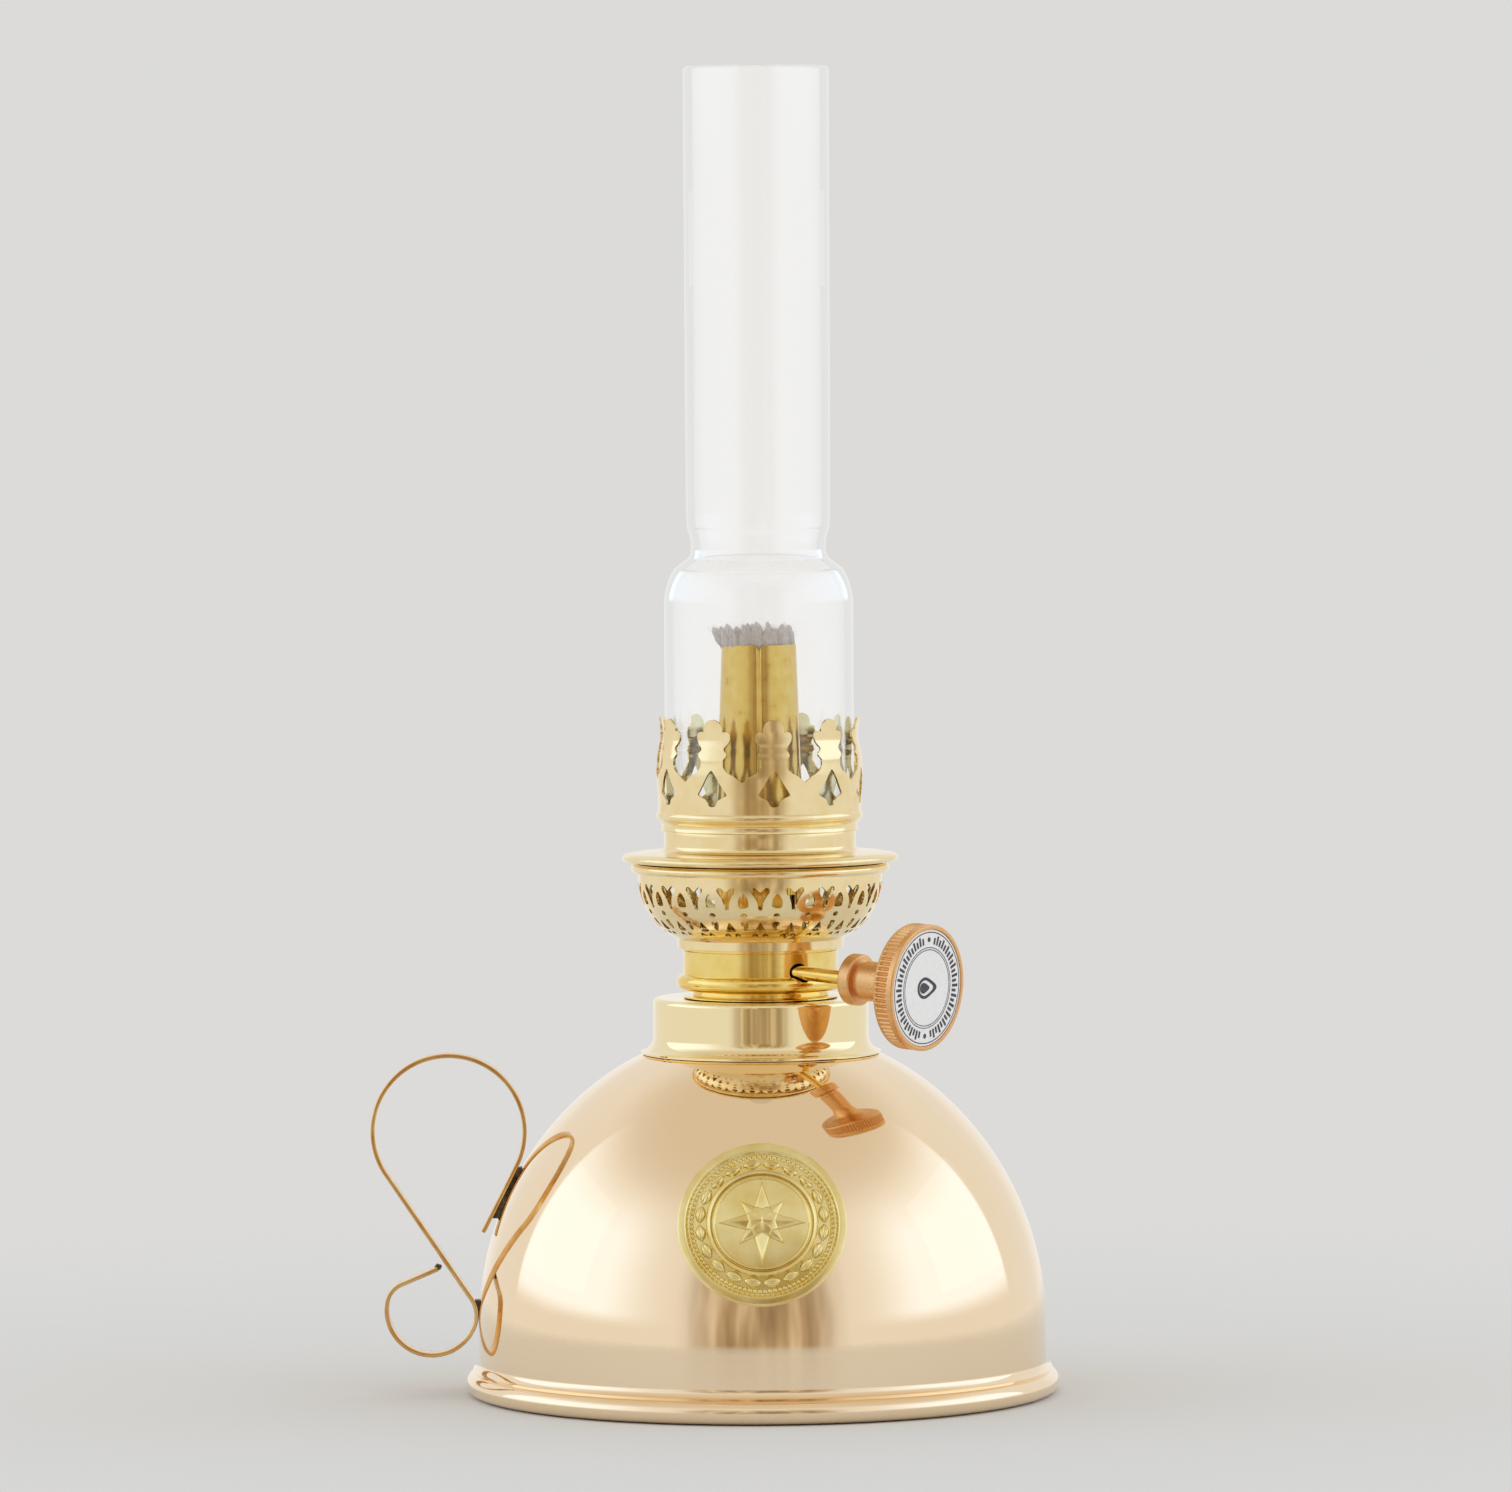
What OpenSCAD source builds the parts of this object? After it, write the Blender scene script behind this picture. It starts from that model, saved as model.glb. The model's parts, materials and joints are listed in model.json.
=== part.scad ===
// Table oil lamp: a polished brass font with a carry handle, a round-wick burner
// that screws into it, a lift-off gallery and a tall glass chimney.
// Millimetres. +Z is up, the origin is the middle of the base's underside, the
// medallion faces -Y and the handle is at -X.

/* [Font] */
// Largest radius of the domed reservoir
font_r = 51.2; // [48:0.1:54]
// Height at which the dome starts above its short straight wall
font_wall_h = 12; // [10:0.5:14]
// Radius of the rolled bead round the foot
foot_bead_r = 2; // [1.5:0.1:2.4]
// Thickness of the font's brass sheet
font_sheet = 0.8; // [0.6:0.1:1.2]
// Outer radius of the collar on top of the font
collar_r = 19.4; // [18:0.1:21]
// Height of the collar's top face
collar_top_z = 71.3; // [70:0.1:71.5]

/* [Burner] */
// Radius of the burner's screw thread
thread_r = 12.2; // [11.8:0.1:12.6]
// Pitch of the screw thread
thread_pitch = 1.8; // [1.5:0.1:2]
// Radius of the plain band that the raiser shaft comes out of
band_r = 13.9; // [13.5:0.1:14]
// Top of the wick tube
wick_tube_top_z = 134.9; // [130:0.1:138]
// Number of hole groups round the air basket
basket_units = 22; // [16:2:30]

/* [Wick raiser] */
// Turn of the raiser shaft about the lamp's axis, from +X
shaft_azimuth = -36; // [-45:1:-30]
// How far the shaft droops outwards
shaft_droop = 3.5; // [0:0.1:4]
// Distance from the lamp's axis to the shaft's axis
shaft_offset = 5.75; // [5.6:0.05:5.9]
// Height of the shaft where it is closest to the lamp's axis
shaft_z = 77.2; // [77:0.1:77.4]
// Diameter of the shaft
shaft_d = 2.5; // [2:0.1:3]
// Radius of the spiked wick wheels
wheel_r = 3.5; // [3.2:0.1:3.5]
// Radius of the knob's disc
knob_r = 11.25; // [9:0.25:12]

/* [Gallery and chimney] */
// Number of prongs that hold the chimney
prongs = 10; // [8:1:12]
// Outer radius of the glass where it stands in the gallery
chimney_foot_r = 17; // [16.8:0.05:17.05]
// Outer radius of the glass at its waist
chimney_waist_r = 12.1; // [11:0.1:13]
// Outer radius of the upper tube of the glass
chimney_tube_r = 13; // [12.5:0.1:14]
// Top of the glass
chimney_top_z = 238.6; // [200:0.1:260]
// Thickness of the glass
glass_wall = 1.4; // [1:0.1:1.6]

/* [Handle] */
// Width of the handle's brass strip
strap_w = 4.6; // [3:0.1:8]
// Thickness of the strip
strap_t = 0.75; // [0.6:0.05:1.2]

/* [Hidden] */
$fn = 96;

// The dome's outline is two arcs that share a tangent: a wide one from the wall
// and a tighter one over the top.
side_arc_r = font_r + 4.8;
side_arc_x = font_r - side_arc_r;
top_arc_r = font_r - 1.96;
top_arc_z = font_wall_h + sqrt(pow(side_arc_r - top_arc_r, 2) - pow(side_arc_x, 2));
arc_join = atan2(top_arc_z - font_wall_h, -side_arc_x);

foot_r = font_r + 0.4;
foot_cove_r = 1.6;
neck_hole_r = 14.6;
base_flange_z = 4.5;
basket_arc = [9.8, 93.05];
basket_arc_r = 12.2;
basket_sheet = 0.5;
floor_z = 81.2;
floor_t = 0.6;
band_bottom_z = 72.9;
band_top_z = 79.9;
neck_bore_r = 11.4;
vent_r = 1.05;
vent_at = 10.1;
vent_turn = 120;
washer_bore = thread_r + 0.1;
female_thread_r = thread_r + 0.08;
seat_z = 104.4;
neck_sheet = 0.45;
neck_r = 17;
neck_bottom_z = 97.3;
flange_z = 96.5;
crown_sheet = 0.4;
crown_bead_z = 103.5;

wick_tube_r = 8.05;
wick_in_r = 4.9;
wick_out_r = 6.1;
wick_top_z = 138.4;
wick_tail_z = 20;
wick_flat = [14.8, 2.4];
wick_flat_y = 0.15 + wheel_r + wick_flat[1] / 2 - shaft_offset;
wick_split_z = 94.4;
draft_bottom_z = 99;
wheel_s = 4.2;
ear_s = 6.8;
hub_s = 24.1;
disc_s = 36.7;
disc_t = 4.1;
medal_r = 15.5;
medal_z = 35;
medal_tilt = 24.1;
medal_x = 46.3;

// ---- shared shapes ----

// Points on an arc, from angle a0 to a1
function arc(c, r, a0, a1, n = 8) = [for (i = [0:n]) c + r * [cos(a0 + (a1 - a0) * i / n), sin(a0 + (a1 - a0) * i / n)]];

// A wedge of the plane from angle a0 to a1, used to keep part of a ring
module sector(r, a0, a1) {
    n = max(1, ceil(abs(a1 - a0) / 45));
    polygon(concat([[0, 0]], [for (i = [0:n]) 1.5 * r * [cos(a0 + (a1 - a0) * i / n), sin(a0 + (a1 - a0) * i / n)]]));
}

// A band of thickness t centred on an arc of radius r
module arc_band(r, t, a0, a1) {
    intersection() {
        difference() {
            circle(r = r + t / 2);
            circle(r = r - t / 2);
        }
        sector(r + t, a0, a1);
    }
}

// A round tube standing on z0
module tube(r_out, r_in, z0, z1) {
    translate([0, 0, z0])
        difference() {
            cylinder(r = r_out, h = z1 - z0);
            translate([0, 0, -1]) cylinder(r = r_in, h = z1 - z0 + 2);
        }
}

// Half of the dome's outline, sunk inwards by inset
module dome_half(inset) {
    intersection() {
        union() {
            translate([0, top_arc_z]) circle(r = top_arc_r - inset);
            translate([side_arc_x, font_wall_h])
                intersection() {
                    circle(r = side_arc_r - inset);
                    sector(side_arc_r, 0, arc_join);
                }
            square([font_r - inset, font_wall_h]);
        }
        translate([0, font_wall_h - 10]) square([font_r + 10, 80]);
    }
}

// A layer that follows the dome, from depth in to height out
module dome_skin(in, out) {
    rotate_extrude()
        difference() {
            dome_half(-out);
            dome_half(in);
        }
}

// Children are placed on the shaft's axis: local +Z runs outwards to the knob
// and local +Y points to the lamp's axis.
module on_shaft() {
    rotate([0, 0, shaft_azimuth])
        translate([0, -shaft_offset, shaft_z])
            rotate([0, 90 + shaft_droop, 0])
                children();
}

// A flat oval with round ends
module oval(size) {
    square([size[0] - size[1], size[1]], center = true);
    for (side = [-1, 1])
        translate([side * (size[0] - size[1]) / 2, 0]) circle(d = size[1]);
}

// The two-layer part of the wick, or the flat tube round it
module flat_oval(size, z0, z1) {
    rotate([0, 0, shaft_azimuth])
        translate([0, wick_flat_y, z0])
            linear_extrude(z1 - z0) oval(size);
}

// ---- font ----

module font_shell() {
    color("burlywood") {
        rotate_extrude() {
            // sheet of the dome and wall, open at the neck
            difference() {
                dome_half(0);
                dome_half(font_sheet);
                square([neck_hole_r, 80]);
            }
            translate([font_r - font_sheet, foot_bead_r]) square([font_sheet, font_wall_h - foot_bead_r]);
            // small cove above the rolled bead
            difference() {
                translate([font_r - font_sheet, foot_bead_r]) square([font_sheet + 0.9, 4]);
                translate([font_r + foot_cove_r, foot_bead_r + 4]) circle(r = foot_cove_r);
            }
            translate([foot_r, foot_bead_r]) circle(r = foot_bead_r);
        }
    }
}

module base_plate() {
    plate_t = 0.8;
    plate_r = foot_r - foot_bead_r;
    // round rib that stiffens the plate
    rib_at = 36.5;
    rib_r = 2.2;
    color("goldenrod")
        rotate_extrude() {
            difference() {
                union() {
                    square([plate_r, plate_t]);
                    intersection() {
                        translate([rib_at, 0]) circle(r = rib_r);
                        square([foot_r, rib_r]);
                    }
                }
                translate([rib_at, 0]) circle(r = rib_r - plate_t);
            }
            translate([plate_r - plate_t, 0]) square([plate_t, base_flange_z]);
        }
}

module font_collar() {
    mouth_r = 13.5;
    edge_r = 1;
    skirt_cove_r = 2.6;
    skirt_z = 64.2;
    color("burlywood")
        rotate_extrude()
            difference() {
                union() {
                    // band, rounded into the top plate
                    translate([collar_r - font_sheet, 60]) square([font_sheet, collar_top_z - 61]);
                    translate([mouth_r, collar_top_z - font_sheet])
                        square([collar_r - edge_r - mouth_r, font_sheet]);
                    translate([collar_r - edge_r, collar_top_z - edge_r])
                        intersection() {
                            difference() {
                                circle(r = edge_r);
                                circle(r = edge_r - font_sheet);
                            }
                            square(2 * edge_r);
                        }
                    // skirt that spreads onto the dome
                    difference() {
                        translate([collar_r - font_sheet, 60]) square([font_sheet + 2.1, skirt_z - 60]);
                        translate([collar_r + skirt_cove_r, skirt_z]) circle(r = skirt_cove_r);
                    }
                }
                dome_half(0);
            }
}

module thread_ring() {
    ring_r = 14.2;
    flange_r = 16.8;
    color("goldenrod") {
        tube(ring_r, female_thread_r, 62.3, collar_top_z - 1);
        tube(flange_r, ring_r - 0.2, collar_top_z - 1.8, collar_top_z - font_sheet);
    }
}

// Places children on the front of the dome: local +Z is the outward normal and
// local +Y points up the dome
module on_medal() {
    translate([0, -medal_x, medal_z]) rotate([90 - medal_tilt, 0, 0]) children();
}

// A pressed layer of the medallion: whatever its children cover, height thick
module pressed(height) {
    intersection() {
        dome_skin(0, height);
        on_medal() translate([0, 0, -10]) linear_extrude(20) children();
    }
}

module medallion() {
    rim_in_r = 13.3;
    ring_r = 9.7;
    rosette_r = [7, 2.6];
    color("darkkhaki") {
        pressed(0.6) circle(r = medal_r);
        pressed(1.2) difference() { circle(r = medal_r); circle(r = rim_in_r); }
        pressed(1.0) difference() { circle(r = ring_r); circle(r = ring_r - 0.5); }
        // eight-pointed rosette
        pressed(1.1) polygon([for (i = [0:15]) rosette_r[i % 2] * [sin(i * 22.5), cos(i * 22.5)]]);
    }
}

// ---- handle: one flat strip bent into a finger loop and a small curl ----

// Turns and runs of the strip from its upper end: [length, 0] is straight and
// [radius, angle] bends left for a positive angle
strap_start = [-50.25, 29.2];
strap_heading = 63;
strap_path = [[13.4, 0], [13.7, 241], [27.3, 0], [5.3, -55], [8.2, -168.5], [4.3, -57.5], [7.2, 0]];

// Place and heading at share f of a step that starts at point p with heading h
function step_place(p, h, s, f) = s[1] == 0
    ? p + f * s[0] * [cos(h), sin(h)]
    : p + s[0] * sign(s[1]) * [sin(h + f * s[1]) - sin(h), cos(h) - cos(h + f * s[1])];
function step_turn(h, s, f) = h + f * s[1];

// Start point and heading of step i of the strip
function step_start(i) = i == 0 ? [strap_start, strap_heading]
    : let (before = step_start(i - 1), s = strap_path[i - 1])
        [step_place(before[0], before[1], s, 1), step_turn(before[1], s, 1)];

// One long edge of the strip, at distance off to the left of its middle line
function strap_edge(off) = [
    for (i = [0:len(strap_path) - 1])
        let (p = step_start(i)[0], h = step_start(i)[1], s = strap_path[i], n = max(1, ceil(abs(s[1]) / 8)))
            for (k = [(i == 0 ? 0 : 1):n])
                let (turn = step_turn(h, s, k / n))
                    step_place(p, h, s, k / n) + off * [-sin(turn), cos(turn)]];

module strap_outline(t) {
    left = strap_edge(t / 2);
    right = strap_edge(-t / 2);
    polygon(concat(left, [for (i = [len(right) - 1:-1:0]) right[i]]));
}

module handle_strap() {
    color("peru")
        rotate([90, 0, 0])
            linear_extrude(strap_w, center = true) strap_outline(strap_t);
}

// Solder between the strip and the font, behind the upper end and at the curl
module handle_solder() {
    color("dimgray")
        rotate([90, 0, 0])
            linear_extrude(2.4, center = true) {
                polygon([[-48.8, 31.6], [-44.4, 40.6], [-42.8, 40.9], [-47.2, 31.6]]);
                translate([-51.8, 14]) square([0.9, 2.8]);
            }
}

// ---- burner ----

// Soft washer in the counterbore at the top of the collar
module burner_washer() {
    color("saddlebrown") tube(13.3, washer_bore, collar_top_z - 0.7, collar_top_z - 0.1);
}

module burner_base() {
    grooves = 4;
    first_groove_z = 63.6;
    neck_bottom = 63;
    sheet = 0.7;
    bead_r = 1.4;
    foot_t = 0.25;
    shaft_hole_d = 3.3;
    color("gold")
        difference() {
            rotate_extrude() {
                difference() {
                    translate([neck_bore_r, neck_bottom])
                        square([thread_r - neck_bore_r, band_bottom_z + 0.5 - neck_bottom]);
                    for (i = [0:grooves - 1])
                        translate([thread_r, first_groove_z + i * thread_pitch])
                            rotate(45) square(0.55, center = true);
                }
                translate([neck_bore_r, band_bottom_z]) square([band_r - neck_bore_r, sheet]);
                // band, and the narrower neck above it that carries the floor
                translate([band_r - sheet, band_bottom_z]) square([sheet, band_top_z - band_bottom_z]);
                translate([band_r - sheet, band_bottom_z]) square([sheet / 2, floor_z - band_bottom_z]);
                // thin foot that hides the washer
                translate([neck_bore_r, collar_top_z + 0.05]) square([band_r - neck_bore_r, foot_t]);
                translate([band_r - 0.1, band_bottom_z + bead_r - 0.1]) circle(r = bead_r);
            }
            // hole that the raiser shaft comes out of
            on_shaft() translate([0, 0, 9]) cylinder(d = shaft_hole_d, h = 12);
        }
}

module burner_floor() {
    color("gold")
        difference() {
            tube(band_r + 0.4, wick_tube_r, floor_z, floor_z + floor_t);
            rotate([0, 0, vent_turn]) translate([vent_at, 0, floor_z - 1]) cylinder(r = vent_r, h = 3);
        }
}

module vent_tube() {
    color("gold")
        rotate([0, 0, vent_turn]) translate([vent_at, 0, 0]) tube(vent_r, vent_r - 0.35, 70, floor_z + 2);
}

module wick_tube() {
    flat_wall = 0.4;
    shell = [wick_flat[0] + 1.4, wick_flat[1] + 0.8];
    bottom_r = wick_tube_r;
    top_r = 6.7;
    mid_z = 96;
    color("goldenrod")
        difference() {
            union() {
                translate([0, 0, mid_z]) cylinder(r1 = bottom_r, r2 = top_r, h = wick_tube_top_z - mid_z);
                translate([0, 0, floor_z]) cylinder(r = bottom_r, h = mid_z - floor_z);
                flat_oval(shell + 2 * flat_wall * [1, 1], 70, floor_z + 0.5);
            }
            translate([0, 0, mid_z]) cylinder(r1 = bottom_r - 0.4, r2 = top_r - 0.35, h = wick_tube_top_z - mid_z + 0.01);
            translate([0, 0, floor_z + 0.5]) cylinder(r = bottom_r - 0.4, h = mid_z - floor_z - 0.5 + 0.01);
            flat_oval(shell, 60, 90);
            // air way to the inside of the wick, at the back
            translate([0, 8, 88]) rotate([90, 0, 0]) cylinder(r = 3.2, h = 8, center = true);
            // windows that the wheels reach through
            for (side = [-1, 1])
                on_shaft() translate([0, 0, side * wheel_s]) cylinder(r = wheel_r + 0.5, h = 2.6, center = true);
        }
}

// Inner tube that leads air up the middle of the wick, with the web that
// carries it from the wick tube's seam
module draft_tube() {
    out_r = 4.6;
    top_z = wick_tube_top_z - 0.4;
    color("goldenrod") {
        tube(out_r, out_r - 0.4, draft_bottom_z, top_z);
        translate([-0.25, -6.25, draft_bottom_z]) cube([0.5, 6.25 - out_r + 0.2, top_z - draft_bottom_z]);
    }
}

// One opening of the air basket: a pointed arch, drawn about its middle
module arch_hole(w, h) {
    r = (w * w + h * h) / (4 * w);
    intersection() {
        translate([r - w / 2, 0]) circle(r = r);
        translate([w / 2 - r, 0]) circle(r = r);
    }
}

// One opening between two arches: two lobes that run down to a stem
module heart_hole() {
    polygon([[-0.35, -2], [0.35, -2], [1.7, 1.35], [1.25, 2.1], [0, 1.25], [-1.25, 2.1], [-1.7, 1.35]]);
}

// Cuts children through the basket's wall, radially at height z
module basket_cut(angle, z, tilt = 0) {
    rotate([0, 0, angle]) translate([0, -14, z])
        rotate([90 + tilt, 0, 0]) linear_extrude(12) children();
}

module air_basket() {
    unit = 360 / basket_units;
    ring_r = 15;
    ring_z = 80.35;
    rim_at = [22.3, 94.7];
    rim_r = 0.95;
    color("gold")
        difference() {
            rotate_extrude() {
                // ring that stands round the burner's band
                translate([ring_r - 0.6, ring_z]) square([0.6, 2.0]);
                translate([ring_r - 0.6, ring_z + 1.5]) square([1.2, basket_sheet]);
                translate(basket_arc)
                    arc_band(basket_arc_r - basket_sheet / 2, basket_sheet, -63, 7);
                // rolled rim
                translate(rim_at) circle(r = rim_r);
            }
            for (i = [0:basket_units - 1]) {
                basket_cut((i + 0.5) * unit, 89.8) arch_hole(1.84, 2.6);
                basket_cut(i * unit, 90.1) heart_hole();
                basket_cut((i + 0.5) * unit, 87.2) circle(r = 0.5, $fn = 24);
                basket_cut(i * unit, 85) polygon([[-0.95, -0.8], [0.95, -0.8], [0, 0.9]]);
            }
        }
}

// ---- wick raiser ----

module shaft_bracket() {
    ear = 0.6;
    back_y = -4.2;
    color("goldenrod")
        difference() {
            intersection() {
                on_shaft() {
                    for (side = [-1, 1])
                        translate([-8, back_y, side * ear_s - ear / 2]) cube([10.2, 5.6, ear]);
                    translate([-8, back_y, -ear_s]) cube([10.2, 0.45, 2 * ear_s]);
                }
                translate([0, 0, 60]) cylinder(r = 13, h = floor_z - 60);
            }
            on_shaft() cylinder(d = shaft_d + 0.1, h = 40, center = true);
        }
}

module raiser_shaft() {
    color("goldenrod") on_shaft() translate([0, 0, -9]) cylinder(d = shaft_d, h = disc_s + 9 + 0.6);
}

// One spiked wheel of the given number of teeth
module star_wheel(teeth) {
    linear_extrude(1.6, center = true)
        difference() {
            polygon([for (i = [0:2 * teeth - 1]) (i % 2 == 0 ? wheel_r : wheel_r - 0.8)
                * [cos(i * 180 / teeth), sin(i * 180 / teeth)]]);
            circle(d = shaft_d);
        }
}

module wick_wheels() {
    color("goldenrod")
        on_shaft()
            for (side = [-1, 1]) {
                translate([0, 0, side * wheel_s]) star_wheel(12);
                translate([0, 0, side * (wheel_s - 1.6)]) difference() {
                    cylinder(r = 2, h = 1.8, center = true);
                    cylinder(d = shaft_d, h = 4, center = true);
                }
            }
}

module knob_hub() {
    flange = 2.6;
    color("burlywood")
        on_shaft()
            rotate_extrude()
                polygon(concat(
                    [[shaft_d / 2, hub_s], [4.2, hub_s]],
                    arc([4.2, hub_s + 0.4], 0.4, -90, 0, 3),
                    [[4.6, hub_s + flange], [3.55, hub_s + flange + 0.3], [3.55, disc_s - 4.2]],
                    arc([7.55, disc_s - 4.2], 4, 180, 90, 8),
                    [[7.55, disc_s], [shaft_d / 2, disc_s]]));
}

module knob_disc() {
    teeth = 72;
    lip = 1;
    knurl_depth = 0.3;
    tip_r = knob_r - 0.05;
    root_r = tip_r - knurl_depth;
    color("burlywood")
        on_shaft()
            translate([0, 0, disc_s])
                difference() {
                    union() {
                        linear_extrude(disc_t - lip)
                            polygon([for (i = [0:teeth - 1], k = [0:3])
                                (k < 2 ? root_r : tip_r) * [cos((i + k / 4) * 360 / teeth), sin((i + k / 4) * 360 / teeth)]]);
                        translate([0, 0, disc_t - lip]) cylinder(r = knob_r, h = lip);
                    }
                    translate([0, 0, disc_t - 0.5]) cylinder(r = knob_r - 0.8, h = 1);
                    translate([0, 0, -1]) cylinder(d = shaft_d, h = 1.6);
                }
}

// Printed enamel disc in the face of the knob
module knob_label() {
    color("white") on_shaft() translate([0, 0, disc_s + disc_t - 0.5]) cylinder(r = knob_r - 0.8, h = 0.3);
}

// Woven wick: round in the tube and folded flat below it
module wick() {
    color("linen") {
        difference() {
            tube(wick_out_r, wick_in_r, wick_split_z - 0.2, wick_top_z);
            // the gap between the wick's two edges, for the web of the draft tube
            translate([-0.7, -10, wick_split_z]) cube([1.4, 10, 60]);
        }
        flat_oval(wick_flat, wick_tail_z, wick_split_z);
    }
}

// ---- gallery and chimney ----

module gallery_flange() {
    color("gold")
        rotate_extrude() {
            // skirt that drops into the basket's rim
            translate([20.6, 94.3]) square([neck_sheet, 2.4]);
            // lip that rests on the basket's rim
            translate([20.8, 95.75]) square([2, 1]);
            // disc with a rolled edge
            translate([18.4, flange_z - 0.05])
                polygon([[0, 0.75], [2.3, 0], [5.9, 0], [5.9, 0.5], [5.7, 0.9], [0, 1.3]]);
            translate([24.25, flange_z]) circle(r = 0.6);
            // step up to the neck, the neck, and the ledge that the glass stands on
            translate([neck_r, neck_bottom_z]) square([1.6, 1.1]);
            translate([neck_r, neck_bottom_z]) square([neck_sheet, seat_z - neck_bottom_z]);
            translate([15.7, seat_z - neck_sheet]) square([neck_r + neck_sheet - 15.7, neck_sheet]);
        }
}

// Outline of the gap between two prongs, drawn about its middle
module prong_gap(pitch) {
    prong_w = 5.3;
    gap_w = pitch - prong_w;
    difference() {
        union() {
            translate([0, 110 + gap_w / 2]) circle(d = gap_w);
            translate([-gap_w / 2, 110 + gap_w / 2]) square([gap_w, 6]);
            translate([-pitch / 2, 115.8]) square([pitch, 10]);
        }
        for (side = [-1, 1])
            translate([side * pitch / 2, 118.8]) circle(r = 3.05);
    }
}

module crown_hole() {
    polygon([[0, 111.7], [2.7, 107.9], [2.2, 107.2], [0.5, 106.6], [-0.5, 106.6], [-2.2, 107.2], [-2.7, 107.9]]);
    translate([0, 106.3]) circle(r = 0.7, $fn = 24);
}

module gallery_crown() {
    outside = [[18.3, 104.8], [18.3, 108], [18.6, 111.5], [18.4, 114.5], [17.75, 118], [17.85, 119.8], [18.2, 121.8]];
    inside = [for (i = [len(outside) - 1:-1:0]) outside[i] - [crown_sheet, 0]];
    first_prong = 8.7;
    step = 360 / prongs;
    color("gold")
        difference() {
            rotate_extrude() {
                polygon(concat(outside, inside));
                difference() {
                    translate([neck_r + 0.6, crown_bead_z]) circle(r = 1.35);
                    translate([neck_r - 3, crown_bead_z - 3]) square([3.5, 6]);
                }
                translate([neck_r + 0.5, crown_bead_z - 1.9]) square([0.45, 2]);
            }
            for (i = [0:prongs - 1]) {
                rotate([0, 0, first_prong + (i + 0.5) * step])
                    translate([0, -14, 0]) rotate([90, 0, 0])
                        linear_extrude(8) prong_gap(2 * 18.2 * tan(step / 2));
                rotate([0, 0, first_prong + i * step])
                    translate([0, -14, 0]) rotate([90, 0, 0])
                        linear_extrude(8) crown_hole();
            }
        }
}

// Outer outline of the glass from foot to top, sunk inwards by inset: a straight
// foot, a round shoulder, the waist and the tube
function glass_side(inset) = concat(
    [[chimney_foot_r - inset, seat_z]],
    arc([chimney_foot_r - 12.4, 142], 12.4 - inset, 0, 32, 8),
    arc([chimney_waist_r + 3.2, 152.2], 3.2 + inset, 214, 180, 5),
    arc([chimney_waist_r + 7.3, 152.6], 7.3 + inset, 180, 155, 4),
    [[chimney_tube_r - 0.05 - inset, 159], [chimney_tube_r + 0.1 - inset, chimney_top_z]]);

module glass_chimney() {
    outer = glass_side(0);
    inner = glass_side(glass_wall);
    color("lightcyan")
        rotate_extrude()
            polygon(concat(outer, [for (i = [len(inner) - 1:-1:0]) inner[i]]));
}

font_shell();
base_plate();
font_collar();
thread_ring();
medallion();
handle_strap();
handle_solder();
burner_washer();
burner_base();
burner_floor();
wick_tube();
draft_tube();
vent_tube();
air_basket();
shaft_bracket();
raiser_shaft();
wick_wheels();
knob_hub();
knob_disc();
knob_label();
wick();
gallery_flange();
gallery_crown();
glass_chimney();
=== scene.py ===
# %% [markdown]
# # A brass oil lamp with a glass chimney
#
# The lamp is built as its maker would: a spun font with a soldered strip handle, a burner made
# of pressed and drawn brass that screws into the font, a turned knob, a cotton wick and a blown
# glass chimney. A CAD model gives every size and every joint. This lesson adds what the eye
# sees: smooth spun shapes, pierced sheet, knurling, a pressed medallion, frayed cotton, and
# brass that looks like each of the ways brass is worked.
#
# All sizes in the cells are millimetres. One constant, MM, turns them to Blender's metres.

import json
import math
import random

import bmesh
import bpy
from mathutils import Matrix, Vector, noise
from mathutils.geometry import delaunay_2d_cdt


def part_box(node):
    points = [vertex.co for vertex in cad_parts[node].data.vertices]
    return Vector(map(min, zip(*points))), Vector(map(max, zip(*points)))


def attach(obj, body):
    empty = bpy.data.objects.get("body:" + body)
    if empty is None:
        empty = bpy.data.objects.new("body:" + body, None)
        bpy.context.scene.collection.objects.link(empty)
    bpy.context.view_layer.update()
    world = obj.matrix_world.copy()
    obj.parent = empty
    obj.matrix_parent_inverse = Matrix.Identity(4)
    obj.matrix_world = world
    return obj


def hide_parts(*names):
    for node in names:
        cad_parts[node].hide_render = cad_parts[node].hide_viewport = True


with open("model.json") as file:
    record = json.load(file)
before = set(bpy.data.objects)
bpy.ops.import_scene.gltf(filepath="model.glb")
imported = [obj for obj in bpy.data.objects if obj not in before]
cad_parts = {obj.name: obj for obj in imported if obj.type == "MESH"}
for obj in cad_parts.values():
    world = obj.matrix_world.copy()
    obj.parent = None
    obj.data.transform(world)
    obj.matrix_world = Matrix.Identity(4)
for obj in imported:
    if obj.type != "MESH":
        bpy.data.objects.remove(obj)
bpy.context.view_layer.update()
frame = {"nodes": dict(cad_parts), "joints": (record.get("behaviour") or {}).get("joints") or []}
MM = 0.001
JOINTS = {joint["name"]: joint for joint in frame["joints"]}

# %% [markdown]
# ## Colours and nodes
#
# Colours are written as they would be picked on a screen, in sRGB hex. Blender shades in linear
# light, so one function turns them. A second small function adds any node to a material, fills
# its inputs and links what feeds it, so that each material below reads as a list of decisions.

# %% Colour and node helpers
def linear(hex_colour):
    """An sRGB hex colour as a linear RGBA list."""
    channels = [int(hex_colour[i:i + 2], 16) / 255 for i in (1, 3, 5)]
    return [c / 12.92 if c <= 0.04045 else ((c + 0.055) / 1.055) ** 2.4 for c in channels] + [1.0]


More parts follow.
